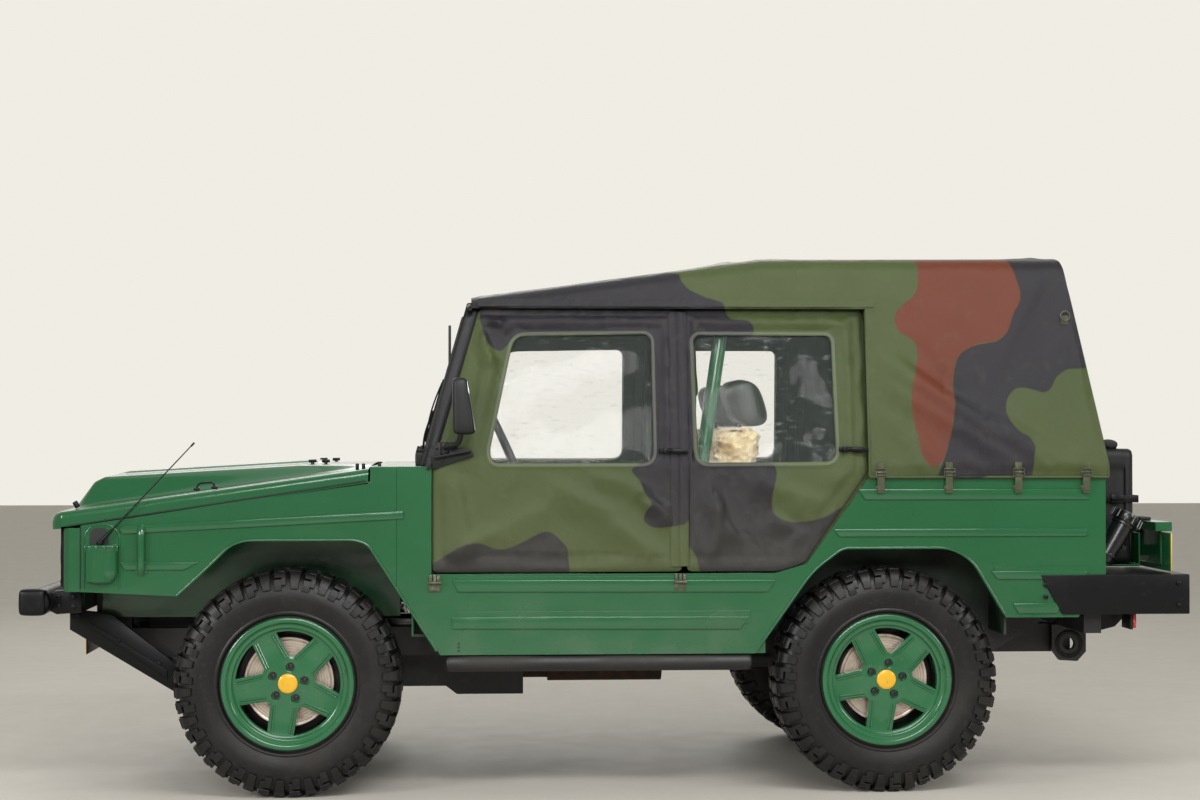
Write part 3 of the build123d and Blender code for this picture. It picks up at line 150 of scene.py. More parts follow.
def finish_of(name, looks, **fixed):
    """A material: looks(place) gives what varies over the surface, fixed what doesn't."""
    made = bpy.data.materials.new(name)
    made.use_nodes = True
    tree = made.node_tree
    shader = tree.nodes["Principled BSDF"]
    place = Wire(tree).node("TexCoord", {}, {}, "Object")
    for socket, value in looks(place).items():
        if isinstance(value, Wire):
            tree.links.new(value.socket, shader.inputs[socket])
        else:
            shader.inputs[socket].default_value = value
    for socket, value in fixed.items():
        shader.inputs[socket.replace("_", " ")].default_value = value
    return made


# The far wall of the room is bright and the rest of it dimmer, so the paint keeps its depth.
sky = bpy.data.worlds.new("pale room")
sky.use_nodes = True
direction = Wire(sky.node_tree).node("TexCoord", {}, {}, "Generated")
brightness = 0.98 - direction.axis("Y").rise(-0.95, -0.15) * 0.62
backdrop = sky.node_tree.nodes["Background"]
backdrop.inputs["Color"].default_value = shade("f2efe6")
sky.node_tree.links.new(brightness.socket, backdrop.inputs["Strength"])
bpy.context.scene.world = sky


def floor_looks(place):
    return {"Base Color": place.noise(2.5, 4).mix("bdb8af", "c6c1b8"),
            "Roughness": place.noise(9, 3).rise(0.2, 0.8) * 0.12 + 0.5,
            "Normal": place.noise(160, 3).bump(0.0006)}


bpy.ops.mesh.primitive_plane_add(size=60)
floor = bpy.context.active_object
floor.name = "floor"
floor.data.materials.append(finish_of("pale floor", floor_looks))

# ---- The steel tub -------------------------------------------------
# Sides, nose, cowl and tail are pressed sheet steel, welded up, with folded edges and ribs
# pressed into them. They are sprayed in glossy dark green enamel, a little wavy with age.
def only(piece):
    """Deselects all but one piece, which becomes the active one."""
    bpy.ops.object.select_all(action="DESELECT")
    piece.select_set(True)
    bpy.context.view_layer.objects.active = piece


def changed(piece, kind, **settings):
    """Adds one modifier to a piece and applies it."""
    modifier = piece.modifiers.new(kind.lower(), kind)
    for name, value in settings.items():
        setattr(modifier, name, value)
    only(piece)
    bpy.ops.object.modifier_apply(modifier=modifier.name)
    return piece


def eased(piece, width, segments=2, angle=30):
    """Rounds a piece's folded edges and shades it smooth between them."""
    if width:
        changed(piece, "BEVEL", width=width, segments=segments, limit_method="ANGLE",
                angle_limit=math.radians(angle))
    only(piece)
    bpy.ops.object.shade_smooth_by_angle(angle=math.radians(38))
    return piece


def coated(piece, finish):
    """Gives a piece one finish, in place of any that it has."""
    piece.data.materials.clear()
    piece.data.materials.append(finish)


def fitted(piece, name, finish, body="body", instead_of=()):
    """Names a piece, puts its place into its mesh, and gives it its finish and its body."""
    only(piece)
    bpy.ops.object.transform_apply(location=True, rotation=True, scale=True)
    piece.name = piece.data.name = name
    coated(piece, finish)
    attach(piece, body)
    if instead_of:
        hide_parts(*instead_of)
    return piece


def copied(model, side="left"):
    """A copy with its own mesh, turned over from left to right where it goes on the right."""
    piece = model.copy()
    piece.data = model.data.copy()
    bpy.context.scene.collection.objects.link(piece)
    if side == "right":
        piece.data.transform(Matrix.Scale(-1, 4, (0, 1, 0)))
        piece.data.flip_normals()
    return piece


def pressed(node):
    """A panel copied from its solid, its triangles merged back into whole faces."""
    piece = copied(nodes[node])
    for key in list(piece.keys()):
        del piece[key]
    piece.parent = None
    only(piece)
    bpy.ops.object.mode_set(mode="EDIT")
    bpy.ops.mesh.select_all(action="SELECT")
    bpy.ops.mesh.remove_doubles(threshold=0.00002)
    bpy.ops.mesh.dissolve_limited(angle_limit=math.radians(0.6))
    bpy.ops.object.mode_set(mode="OBJECT")
    return piece


def enamel_looks(place):
    cloud = place.noise(1.7, 3)
    low_dust = 1 - place.axis("Z").rise(0.45, 0.78)
    dusty = low_dust * place.noise(7, 5).rise(0.35, 0.75) * 0.35
    chips = place.noise(95, 3).rise(0.735, 0.75)
    green = cloud.mix("154a2a", "1b5833")
    green = dusty.mix(green, "4a5a44")
    peel = place.noise(210, 1) * 0.3
    waves = place.stretched(1, 1, 1.8).noise(3.4, 2) * 10
    return {"Base Color": chips.mix(green, "16351f"),
            "Roughness": dusty * 0.5 + cloud * 0.08 + 0.16,
            "Normal": (peel + waves).bump(0.0007)}


enamel = finish_of("green enamel", enamel_looks, Coat_Weight=0.35, Coat_Roughness=0.06)
for node in ("body_sides", "front_fenders", "nose_panel", "cowl_panel", "rear_panel", "tailgate"):
    panel = eased(pressed(node), 0.0022, 2, 15)
    changed(panel, "WEIGHTED_NORMAL", keep_sharp=True)
    fitted(panel, node.replace("_", "-"), enamel, "tailgate" if node == "tailgate" else "body",
           [node])


def dull_green_looks(place):
    grime = place.noise(5, 5).rise(0.3, 0.75)
    return {"Base Color": grime.mix("14301d", "1e241b"),
            "Roughness": grime * 0.3 + 0.45,
            "Normal": place.noise(60, 4).bump(0.0008)}


dull_green = finish_of("dusty underbody green", dull_green_looks)
for node in ("floor_pan", "wheel_houses"):
    coated(nodes[node], dull_green)

# ---- Wheels --------------------------------------------------------
# Each is an alloy wheel with five flat spokes, painted green, over a steel brake disc. It
# carries a mud tyre with two kinds of shoulder lug, moulded in black rubber, 760 mm high.
AXLE_X = {"front": 1.088, "rear": -0.929}
TYRE_RADIUS = 380  # mm, as are the wheel's other sections
HUB_Y, HUB_Z = 0.635, TYRE_RADIUS / 1000
LUG_PAIRS = 22
TREAD = [(0, TYRE_RADIUS), (70, 379), (95, 376), (110, 367.5), (118.5, 352), (124, 334), (126, 314),
         (125.5, 298)]


def faced_out():
    """Points all faces of the piece in edit mode outwards, and goes back to object mode."""
    bpy.ops.mesh.select_all(action="SELECT")
    bpy.ops.mesh.normals_make_consistent(inside=False)
    bpy.ops.object.mode_set(mode="OBJECT")
    return bpy.context.active_object


def turned_out(piece):
    """Makes the faces of a closed piece point outwards."""
    only(piece)
    bpy.ops.object.mode_set(mode="EDIT")
    return faced_out()


def spun(profile, steps=96):
    """A ring turned about the wheel's axle from its half section, a list of (y, radius) in mm."""
    bpy.ops.object.select_all(action="DESELECT")
    bpy.ops.mesh.primitive_circle_add(vertices=len(profile), fill_type="NOTHING")
    piece = bpy.context.active_object
    for vertex, (y, radius) in zip(piece.data.vertices, profile):
        vertex.co = (0, y / 1000, radius / 1000)
    bpy.ops.object.mode_set(mode="EDIT")
    bpy.ops.mesh.select_all(action="SELECT")
    bpy.ops.mesh.spin(steps=steps, angle=2 * math.pi, center=(0, 0, 0), axis=(0, 1, 0))
    bpy.ops.mesh.select_all(action="SELECT")
    bpy.ops.mesh.remove_doubles(threshold=0.00001)
    bpy.ops.mesh.dissolve_degenerate(threshold=0.00001)
    bpy.ops.mesh.delete_loose(use_faces=False)
    return faced_out()


def joined(pieces):
    """Several pieces made one, under the first one's name."""
    bpy.ops.object.select_all(action="DESELECT")
    for piece in pieces:
        piece.select_set(True)
    bpy.context.view_layer.objects.active = pieces[0]
    bpy.ops.object.join()
    return pieces[0]


def lug(along, across, low, high, taper=1.0, slant=0.0):
    """A block of the flat tread, in mm: its middle and half width along, its ends across."""
    bpy.ops.object.select_all(action="DESELECT")
    bpy.ops.mesh.primitive_grid_add(x_subdivisions=1, y_subdivisions=5, size=2)
    piece = bpy.context.active_object
    for vertex in piece.data.vertices:
        share = (vertex.co.y + 1) / 2
        half = along[1] * (1 + (taper - 1) * share)
        vertex.co = (along[0] + vertex.co.x * half + slant * share,
                     across[0] + share * (across[1] - across[0]), low)
    bpy.ops.object.mode_set(mode="EDIT")
    bpy.ops.mesh.select_all(action="SELECT")
    bpy.ops.mesh.extrude_region_move(TRANSFORM_OT_translate={"value": (0, 0, high - low)})
    return faced_out()


def wrapped_round_tyre(piece):
    """Bends a flat block onto the tyre: x runs round it, y across the tread, z outwards."""
    sections = np.array(TREAD, float)
    steps = np.hypot(*np.diff(sections, axis=0).T)
    reach = np.concatenate(([0], np.cumsum(steps)))
    for vertex in piece.data.vertices:
        side = 1 if vertex.co.y >= 0 else -1
        at = abs(vertex.co.y)
        y, radius = (np.interp(at, reach, sections[:, k]) for k in (0, 1))
        y2, radius2 = (np.interp(at + 4, reach, sections[:, k]) for k in (0, 1))
        y1, radius1 = (np.interp(max(at - 4, 0), reach, sections[:, k]) for k in (0, 1))
        flow = Vector((y2 - y1, radius2 - radius1)).normalized()
        y -= flow.y * vertex.co.z
        radius += flow.x * vertex.co.z
        angle = vertex.co.x / TYRE_RADIUS
        vertex.co = Vector((math.sin(angle) * radius, side * y, math.cos(angle) * radius)) / 1000
    return piece


def tyre():
    """Carcass with its bead, sidewalls and grooves, and the lugs all round it."""
    carcass = [(99, 200), (99, 226), (110, 231), (113, 233), (114, 238), (112, 243), (116, 256),
               (120, 275), (121, 294), (118, 314), (112, 332), (104, 348), (90, 359.5), (66, 365.5)]
    ring = spun(carcass + [(-y, radius) for y, radius in reversed(carcass)], 110)
    pitch = 2 * math.pi * TYRE_RADIUS / LUG_PAIRS
    blocks = []
    for side in (1, -1):
        shift = 0 if side == 1 else pitch / 2
        for along, across, high, taper, slant in (
                ((-pitch / 4, 21.5), (60, 164), 0, 0.68, 0), ((-pitch / 4, 18), (62, 96), 1.8, 0.95, 0),
                ((pitch / 4, 22), (64, 124), 0, 0.88, 0), ((pitch / 4 - 5, 11), (70, 100), 1.8, 1, 0),
                ((pitch / 4 + 7, 14), (131, 170), -1.5, 1.1, 3),
                ((pitch / 4 - 13, 8.5), (120, 152), -2.5, 0.9, 0), ((-pitch / 4 + 4, 18), (6, 48), 0, 0.9, 8),
                ((pitch / 4 + 4, 18), (12, 55), 0, 0.9, -8)):
            piece = lug((along[0] + shift, along[1]), across, -13, high, taper, slant)
            for vertex in piece.data.vertices:
                vertex.co.y *= side
            blocks.append(wrapped_round_tyre(piece))
    pattern = turned_out(joined(blocks))
    changed(pattern, "BEVEL", width=0.0012, segments=1, limit_method="ANGLE", angle_limit=math.radians(50))
    bpy.ops.object.mode_set(mode="EDIT")
    bpy.ops.mesh.select_all(action="SELECT")
    bpy.ops.mesh.spin(steps=LUG_PAIRS - 1, dupli=True, angle=2 * math.pi * (LUG_PAIRS - 1) / LUG_PAIRS,
                      center=(0, 0, 0), axis=(0, 1, 0))
    bpy.ops.object.mode_set(mode="OBJECT")
    whole = joined([ring, pattern])
    only(whole)
    bpy.ops.object.shade_smooth_by_angle(angle=math.radians(32))
    return whole


def at_wheel(model, axle, side, name, finish, instead_of=()):
    """A left wheel's piece, made about the origin, copied to its axle on one side."""
    piece = copied(model, side)
    piece.data.transform(Matrix.Translation((AXLE_X[axle], HUB_Y if side == "left" else -HUB_Y, HUB_Z)))
    fitted(piece, f"{name}-{axle}-{side}", finish, f"wheel_{axle}_{side}",
           [f"{node}_{axle}_{side}" for node in instead_of])
    return piece


def rubber_looks(place):
    dust = place.noise(6, 5).rise(0.4, 0.8)
    scuff = place.noise(75, 4).rise(0.55, 0.8)
    black = dust.mix("121212", "211d1a")
    return {"Base Color": scuff.mix(black, "262322"),
            "Roughness": dust * 0.2 + scuff * 0.12 + 0.36,
            "Normal": place.noise(420, 3).bump(0.0004)}


rubber = finish_of("tyre rubber", rubber_looks, Specular_IOR_Level=0.3)
made = tyre()
for axle in AXLE_X:
    for side in ("left", "right"):
        at_wheel(made, axle, side, "tyre", rubber, ["tyre"])
bpy.data.objects.remove(made)


def placed_box(middle, size, round_by=0.0, segments=2):
    """A bar or block by its middle and its whole size, its edges rounded."""
    bpy.ops.object.select_all(action="DESELECT")
    bpy.ops.mesh.primitive_cube_add(size=1, location=middle)
    piece = bpy.context.active_object
    piece.scale = size
    bpy.ops.object.transform_apply(location=True, rotation=True, scale=True)
    return eased(piece, round_by, segments) if round_by else piece


def placed_rod(start, end, radius, round_by=0.0, sides=24, end_radius=None):
    """A round bar between two points, or a cone with another radius at its end."""
    along = Vector(end) - Vector(start)
    bpy.ops.object.select_all(action="DESELECT")
    bpy.ops.mesh.primitive_cone_add(vertices=sides, radius1=radius, depth=along.length,
                                    radius2=radius if end_radius is None else end_radius)
    piece = bpy.context.active_object
    piece.rotation_euler = along.to_track_quat("Z", "Y").to_euler()
    piece.location = (Vector(start) + Vector(end)) / 2
    bpy.ops.object.transform_apply(location=True, rotation=True, scale=True)
    return eased(piece, round_by)


def cut_by(piece, tools):
    """Takes the tools' shape out of a piece."""
    tool = joined(tools)
    changed(piece, "BOOLEAN", operation="DIFFERENCE", object=tool, solver="EXACT")
    bpy.data.objects.remove(tool)
    return piece


FACE_Y = 90.0
WINDOW_TURNS = [-8.3 + 72 * index for index in range(5)]  # degrees about the axle
BOLT_CIRCLE = 56


def turned(point, degrees):
    """A point of the wheel, (x, y, z) in mm, turned about the axle; in metres."""
    return Matrix.Rotation(math.radians(degrees), 3, "Y") @ Vector(point) / 1000


def flat_plate(points, low, high, axis="y"):
    """An outline filled from one depth to the other: (x, z) points along y, (x, y) along z."""
    bpy.ops.object.select_all(action="DESELECT")
    bpy.ops.mesh.primitive_circle_add(vertices=len(points), fill_type="NGON")
    piece = bpy.context.active_object
    reach = {"x": (high - low, 0, 0), "y": (0, high - low, 0), "z": (0, 0, high - low)}[axis]
    for vertex, (a, b) in zip(piece.data.vertices, points):
        vertex.co = {"x": (low, a, b), "y": (a, low, b), "z": (a, b, low)}[axis]
    bpy.ops.object.mode_set(mode="EDIT")
    bpy.ops.mesh.select_all(action="SELECT")
    bpy.ops.mesh.extrude_region_move(TRANSFORM_OT_translate={"value": reach})
    return faced_out()


def window_outline():
    far, near, wide, narrow = 175.0, 90.0, 64.0, 7.0
    arc = [math.asin(wide / far) * k / 4 for k in range(-4, 5)]
    return [(-narrow, near), (narrow, near)] + [(far * math.sin(a), far * math.cos(a)) for a in reversed(arc)]


def alloy_wheel():
    """Rim, spokes with their raised window edges, and the bolts' pockets."""
    section = [(110, 213), (108, 220), (101, 222), (98, 219), (96, 204), (40, 200), (-96, 200), (-98, 220),
               (-107, 222), (-110, 218), (-110, 191), (60, 191), (60, 178), (66, 120), (66, 0.001),
               (FACE_Y + 2, 0.001), (FACE_Y + 2, 78), (FACE_Y, 96), (FACE_Y - 1, 178), (FACE_Y + 1, 183),
               (FACE_Y + 8, 186), (FACE_Y + 9, 190), (FACE_Y + 9, 197), (FACE_Y + 12, 201),
               (FACE_Y + 18, 205)]
    wheel = spun(section, 120)
    tools = []
    for about in WINDOW_TURNS:
        tool = flat_plate([(x / 1000, z / 1000) for x, z in window_outline()], 0.04, 0.12)
        tool.data.transform(Matrix.Rotation(math.radians(about), 4, "Y"))
        tools.append(tool)
        tools.append(placed_rod(turned((0, 72, BOLT_CIRCLE), about), turned((0, 112, BOLT_CIRCLE), about),
                                0.0155))
    cut_by(wheel, tools)
    eased(wheel, 0.0016, 2, 40)
    parts, nuts = [wheel], []
    for about in WINDOW_TURNS:
        for side in (-1, 1):
            for offset in (5.0, 13.0):
                run = Vector((side * 57.0, 0, 71.0)).normalized()
                out = Vector((side * run.z, 0, -run.x * side)) * offset
                start = Vector((side * 9.0, FACE_Y, 90.0)) + out
                end = start + run * 88
                parts.append(placed_rod(turned(start, about), turned(end, about), 0.0036, sides=10))
        nuts.append(placed_rod(turned((0, 66, BOLT_CIRCLE), about), turned((0, 80, BOLT_CIRCLE), about),
                               0.0095, 0.001, 6))
    valve = placed_rod(turned((0, 88, 189), -78), turned((0, 112, 189), -78), 0.0045, 0.001, 12)
    whole = joined(parts + [valve])
    only(whole)
    bpy.ops.object.shade_smooth_by_angle(angle=math.radians(35))
    return whole, joined(nuts)


def wheel_paint_looks(place):
    cloud = place.noise(9, 3)
    dust = place.noise(30, 5).rise(0.55, 0.8) * 0.4
    green = cloud.mix("195230", "20613a")
    return {"Base Color": dust.mix(green, "44583f"),
            "Roughness": dust * 0.4 + 0.2,
            "Normal": place.noise(160, 2).bump(0.0004)}


def disc_looks(place):
    """Bare cast steel, turned in rings and browned by rust. Rings follow the axle it turns on."""
    rust = place.noise(30, 4).rise(0.45, 0.8)
    return {"Base Color": rust.mix("d0c2b4", "a98f7a"),
            "Roughness": rust * 0.2 + 0.34, "Metallic": 0.7 - rust * 0.3,
            "Normal": place.noise(300, 3).bump(0.0003)}


def cap_looks(place):
    worn = place.noise(70, 4).rise(0.6, 0.75)
    return {"Base Color": worn.mix("d3a11c", "a27a14"),
            "Roughness": worn * 0.3 + 0.25, "Normal": place.noise(120, 3).bump(0.0004)}


def nut_looks(place):
    rust = place.noise(60, 4).rise(0.5, 0.8)
    return {"Base Color": rust.mix("1b1d1d", "33291f"),
            "Roughness": rust * 0.3 + 0.4, "Normal": place.noise(240, 3).bump(0.0004)}


nut_black = finish_of("blackened steel", nut_looks)
wheel_paint = finish_of("wheel green", wheel_paint_looks, Coat_Weight=0.3, Coat_Roughness=0.08)
brake_steel = finish_of("brake steel", disc_looks)
cap_yellow = finish_of("cap yellow", cap_looks, Coat_Weight=0.4)
rings = [(38 - depth, ring + step) for ring in (82, 90, 99, 109, 118, 127, 136)
         for depth, step in ((0, 0), (1.8, 0.8), (1.8, 2.4), (0, 3.2))]
disc = spun([(64, 40), (64, 70), (38, 78)] + rings + [(40, 143), (40, 149), (38, 150),
             (-20, 150), (-20, 70), (-35, 64), (-35, 22.1), (30, 22.1), (30, 0.001), (60, 0.001), (60, 40)])
eased(disc, 0.0)
cap = spun([(FACE_Y, 0.001), (FACE_Y, 33), (FACE_Y + 4, 33), (FACE_Y + 6, 31.5), (FACE_Y + 7.4, 27),
            (FACE_Y + 8.8, 14), (FACE_Y + 9.2, 0.001)], 48)
eased(cap, 0.0)
alloy, nuts = alloy_wheel()
shield = spun([(-38, 70), (-38, 176), (-30, 182), (-27, 182), (-34, 174), (-34, 70)], 72)
eased(shield, 0.0)
for axle in AXLE_X:
    for side in ("left", "right"):
        at_wheel(alloy, axle, side, "alloy-wheel", wheel_paint, ["rim"])
        at_wheel(disc, axle, side, "brake-disc", brake_steel)
        at_wheel(cap, axle, side, "wheel-cap", cap_yellow)
        at_wheel(nuts, axle, side, "wheel-nuts", nut_black)
        cover = at_wheel(shield, axle, side, "splash-shield", nut_black)
        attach(cover, f"knuckle_{side}" if axle == "front" else "body")
for model in (alloy, disc, cap, nuts, shield):
    bpy.data.objects.remove(model)

# ---- Hood ----------------------------------------------------------
# One big steel lid, hinged at the cowl, with its edges folded down over the fenders and the
# grille. Its middle is raised, with a low flat ridge along it, and two catches on top.
NOSE_X, HOOD_REAR_X, HOOD_LIP_X, HALF = 1.826, 0.821, 1.868, 0.755


def soft_step(value, low, high):
    """0 below low, 1 above high, smooth between them; works on arrays."""
    share = np.clip((value - low) / (high - low), 0, 1)
    return share * share * (3 - 2 * share)


def hump(value, middle, width):
    """1 at a middle value, and nearly 0 from two widths away."""
    return np.exp(-((value - middle) / width) ** 2)


def reshaped(piece, places):
    """Moves the points of a piece to their places, an array of (x, y, z) rows."""
    piece.data.vertices.foreach_set("co", places.astype(np.float32).ravel())
    piece.data.update()
    return piece


def draped(name, columns, rows, place):
    """A fine grid of cloth or sheet steel, put in place by a function of two shares, 0 to 1."""
    bpy.ops.object.select_all(action="DESELECT")
    bpy.ops.mesh.primitive_grid_add(x_subdivisions=columns, y_subdivisions=rows, size=1)
    piece = bpy.context.active_object
    piece.name = name
    flat = np.array([v.co for v in piece.data.vertices])
    return reshaped(piece, np.column_stack(place(flat[:, 0] + 0.5, flat[:, 1] + 0.5)))


def folded(across, edge, drop, radius):
    """Runs a sheet to an edge, round a fold and down: (how far out, how far down)."""
    arc = radius * math.pi / 2
    flat = np.minimum(across, edge - radius)
    over = np.clip(across - (edge - radius), 0, arc)
    down = np.clip(across - (edge - radius) - arc, 0, drop)
    angle = over / radius
    return flat + radius * np.sin(angle), radius * (1 - np.cos(angle)) + down


def hood_place(u, v):
    fold, front_drop, side_drop = 0.016, 0.036, 0.033
    length = HOOD_LIP_X - HOOD_REAR_X + fold * (math.pi / 2 - 1) + front_drop
    along = u * length
    x, down_front = folded(along, HOOD_LIP_X - HOOD_REAR_X, front_drop, 0.022)
    x = x + HOOD_REAR_X
    reach = HALF + fold * (math.pi / 2 - 1) + side_drop
    signed = (2 * v - 1) * reach
    y, down_side = folded(np.abs(signed), HALF, side_drop, fold)
    # the corner over the headlamps is rounded in plan
    beyond = np.clip(y - (HALF - 0.05), 0, None) / 0.05
    x = x - 0.036 * beyond ** 2 * soft_step(x, HOOD_LIP_X - 0.14, HOOD_LIP_X)
    share = (NOSE_X - x) / (NOSE_X - HOOD_REAR_X)
    edge = 0.955 + share * 0.141
    seam = 0.908 + share * 0.152
    crown = 0.010 * (1 - (y / HALF) ** 2)
    top = edge + crown
    # raised middle: its foot slopes in from the sides and rises from the nose
    run = x - 1.088
    height = np.interp(run, [-0.267, -0.017, 0.655, 0.690, 0.735, 0.760],
                       [1.106, 1.104, 1.064, 1.047, 0.985, 0.950])
    height = height + 0.006 * (1 - (y / 0.44) ** 2)
    inside = 1 - soft_step(y, 0.425, 0.492)
    top = top + np.clip(height - top, 0, None) * inside
    ridge = (1 - soft_step(y, 0.135, 0.168)) * soft_step(run, -0.10, -0.04)
    ridge = ridge * (1 - soft_step(run, 0.60, 0.672))
    top = top + 0.0095 * ridge
    # a shallow pressed line just inside each folded edge
    line = 0.0035 * hump(y, 0.665, 0.006) * soft_step(x, 0.86, 0.9)
    top = top - line * (1 - soft_step(x, 1.75, 1.8))
    z = top - np.minimum(np.maximum(down_front, down_side), 1)
    low = np.where(down_side > fold, top - down_side - (down_side - fold) / side_drop
                   * np.clip((edge - seam) - fold - side_drop, 0, None), z)
    return x, np.sign(signed) * y, np.minimum(z, low)


hood = draped("hood", 150, 190, hood_place)
changed(hood, "SOLIDIFY", thickness=0.0022, offset=-1)
changed(hood, "BEVEL", width=0.0008, segments=1, limit_method="ANGLE", angle_limit=math.radians(60))
eased(hood, 0.0)
fitted(hood, "hood-lid", enamel, "hood", ["hood"])

# ---- Ribs, lips and fittings on the steel sides --------------------
# Swages and flat ribs pressed into the sides, arch edges rolled outwards, a tube bracket, the
# deep cup for the antenna's foot, hinge leaves on the sill and catches on the hood, all steel.
def rounded_path(points, radius, steps=5):
    """A run of points with each corner swept round within a radius."""
    points = [Vector(point) for point in points]
    path = [points[0]]
    for before, corner, after in zip(points, points[1:], points[2:]):
        back, on = before - corner, after - corner
        reach = min(radius, back.length * 0.49, on.length * 0.49)
        first, last = corner + back.normalized() * reach, corner + on.normalized() * reach
        for k in range(steps + 1):
            share = k / steps
            path.append(first.lerp(corner, share).lerp(corner.lerp(last, share), share))
    return path + [points[-1]]


def piped(points, radius, corner=0.0, closed=False, sides=4):
    """A tube along a path, closed at both ends or into a loop."""
    path = rounded_path(points, corner) if corner else points
    curve = bpy.data.curves.new("run", "CURVE")
    curve.dimensions = "3D"
    curve.bevel_depth = radius
    curve.bevel_resolution = sides
    curve.use_fill_caps = True
    line = curve.splines.new("POLY")
    line.points.add(len(path) - 1)
    for point, place in zip(line.points, path):
        point.co = (*place, 1)
    line.use_cyclic_u = closed
    only(in_scene("run", curve))
    bpy.ops.object.convert(target="MESH")
    piece = bpy.context.active_object
    bpy.ops.object.shade_smooth_by_angle(angle=math.radians(40))
    return piece


def to_both_sides(piece):
    return changed(piece, "MIRROR", use_axis=(False, True, False))


def rib(outline, height=0.006, face=HALF, soft=0.0035):
    """A flat rib pressed proud of a side, from its (x, z) outline."""
    return eased(flat_plate(outline, face - 0.004, face + height), soft, 3)


SWAGES = [
    [(1.648, 0.908), (1.630, 0.881), (0.702, 0.929), (0.702, 0.956)],
    [(1.640, 0.790), (1.623, 0.762), (1.430, 0.761), (1.377, 0.788)],
    [(0.542, 0.726), (0.522, 0.684), (-0.522, 0.680), (-0.546, 0.722)],
    [(0.542, 0.604), (0.542, 0.561), (-0.427, 0.555), (-0.461, 0.599)],
    [(-0.829, 1.027), (-0.852, 0.990), (-1.616, 0.990), (-1.616, 1.027)],
    [(-0.744, 0.892), (-0.764, 0.865), (-1.613, 0.865), (-1.613, 0.892)],
    [(-1.282, 0.748), (-1.305, 0.719), (-1.613, 0.719), (-1.613, 0.748)],
    [(-1.357, 0.639), (-1.377, 0.603), (-1.509, 0.603), (-1.530, 0.639)]]
swages = [rib(outline) for outline in SWAGES]
FRONT_ARCH = [(1.452, 0.674), (1.358, 0.760), (1.278, 0.840), (1.229, 0.857), (0.865, 0.857),
              (0.821, 0.842), (0.592, 0.486)]
REAR_ARCH = [(-0.486, 0.486), (-0.674, 0.750), (-0.767, 0.818), (-0.789, 0.825), (-1.147, 0.825),
             (-1.222, 0.780), (-1.330, 0.600)]
for arch in (FRONT_ARCH, REAR_ARCH):
    swages.append(piped([(x, HALF - 0.001, z + 0.003) for x, z in arch], 0.0055, 0.06))
bracket = [piped([(1.568, HALF - 0.004, 0.752), (1.568, HALF + 0.012, 0.772), (1.568, HALF + 0.012, 0.888),
                  (1.568, HALF - 0.004, 0.908)], 0.0135, 0.012)]
bracket += [rib([(1.548, z), (1.548, z + 0.016), (1.588, z + 0.016), (1.588, z)], 0.004, soft=0.002)
            for z in (0.750, 0.894)]
fitted(to_both_sides(joined(swages + bracket)), "side-ribs", enamel)


def cup_place(u, v):
    """Half-round pocket of sheet steel: u runs round its wall, v from its rim to its foot."""
    around = (u - 0.5) * math.pi
    drop = v ** 0.8
    shrink = np.sqrt(np.clip(1 - np.clip((v - 0.55) / 0.45, 0, 1) ** 2.2, 0, 1))
    x = 1.697 + 0.052 * np.sign(np.sin(around)) * np.abs(np.sin(around)) ** 0.7 * (0.25 + 0.75 * shrink)
    y = HALF - 0.004 + 0.036 * np.cos(around) ** 0.6 * shrink
    return x, y, 0.842 - 0.128 * drop


cup = changed(draped("cup", 32, 24, cup_place), "SOLIDIFY", thickness=0.002, offset=0)
cup_rim = [piped([(1.697 + 0.053 * math.sin(a), HALF - 0.003 + 0.036 * max(math.cos(a), 0) ** 0.6, 0.842)
                  for a in (math.pi * (k / 20 - 0.5) for k in range(21))], 0.003)]
cup_rim += [placed_box((1.697 + 0.0535 * math.sin(a), HALF - 0.002 + 0.037 * math.cos(a) ** 0.6, 0.834),
                       (0.007, 0.005, 0.018), 0.0012) for a in (-1.25, -0.75, -0.25, 0.25, 0.75, 1.25)]
hood_edge = [(1.640, 0.700), (1.640, 0.880), (1.665, 0.912), (1.730, 0.912), (1.756, 0.880), (1.756, 0.700)]
cup_rim.append(piped([(x, HALF, z) for x, z in hood_edge], 0.0028, 0.03))
eased(cup, 0.0)
fitted(to_both_sides(joined([cup] + cup_rim)), "antenna-cups", enamel)


def satin_looks(place):
    worn = place.noise(38, 4).rise(0.6, 0.78)
    return {"Base Color": worn.mix("090a0c", "18191b"),
            "Roughness": worn * 0.2 + place.noise(14, 3) * 0.12 + 0.3,
            "Normal": place.noise(320, 2).bump(0.0003)}


def steel_looks(place):
    worn = place.noise(55, 4).rise(0.5, 0.75)
    return {"Base Color": worn.mix("3b412c", "7d7b6c"), "Metallic": worn * 0.5,
            "Roughness": worn * 0.1 + 0.38, "Normal": place.noise(260, 3).bump(0.0003)}


# near-black green: painted shade standing in for the dark inside of holes and hollows; the dark panel joints
# share it
def painted_shade_and_joints_looks(place):
    return {"Base Color": place.noise(30, 3).mix("07100b", "101a13"),
            "Roughness": place.noise(12, 2) * 0.1 + 0.6}


satin_black = finish_of("satin black", satin_looks, Specular_IOR_Level=0.22)
olive_steel = finish_of("worn olive steel", steel_looks)
painted_shade_and_joints = finish_of("shadowed hollow", painted_shade_and_joints_looks)
# dark patches laid just proud of the sides: painted shade for the hollow above the antenna cup and for three
# small holes
hollow = [flat_plate([(1.676, 0.846), (1.676, 0.888), (1.690, 0.903), (1.722, 0.903), (1.738, 0.888),
                      (1.738, 0.846)], HALF - 0.001, HALF + 0.0012)]
hollow += [placed_rod((0.519, HALF - 0.001, z), (0.519, HALF + 0.0011, z), 0.0035, sides=12)
           for z in (0.488, 0.500, 0.512)]
fitted(to_both_sides(joined(hollow)), "side-holes-painted-shade", painted_shade_and_joints)

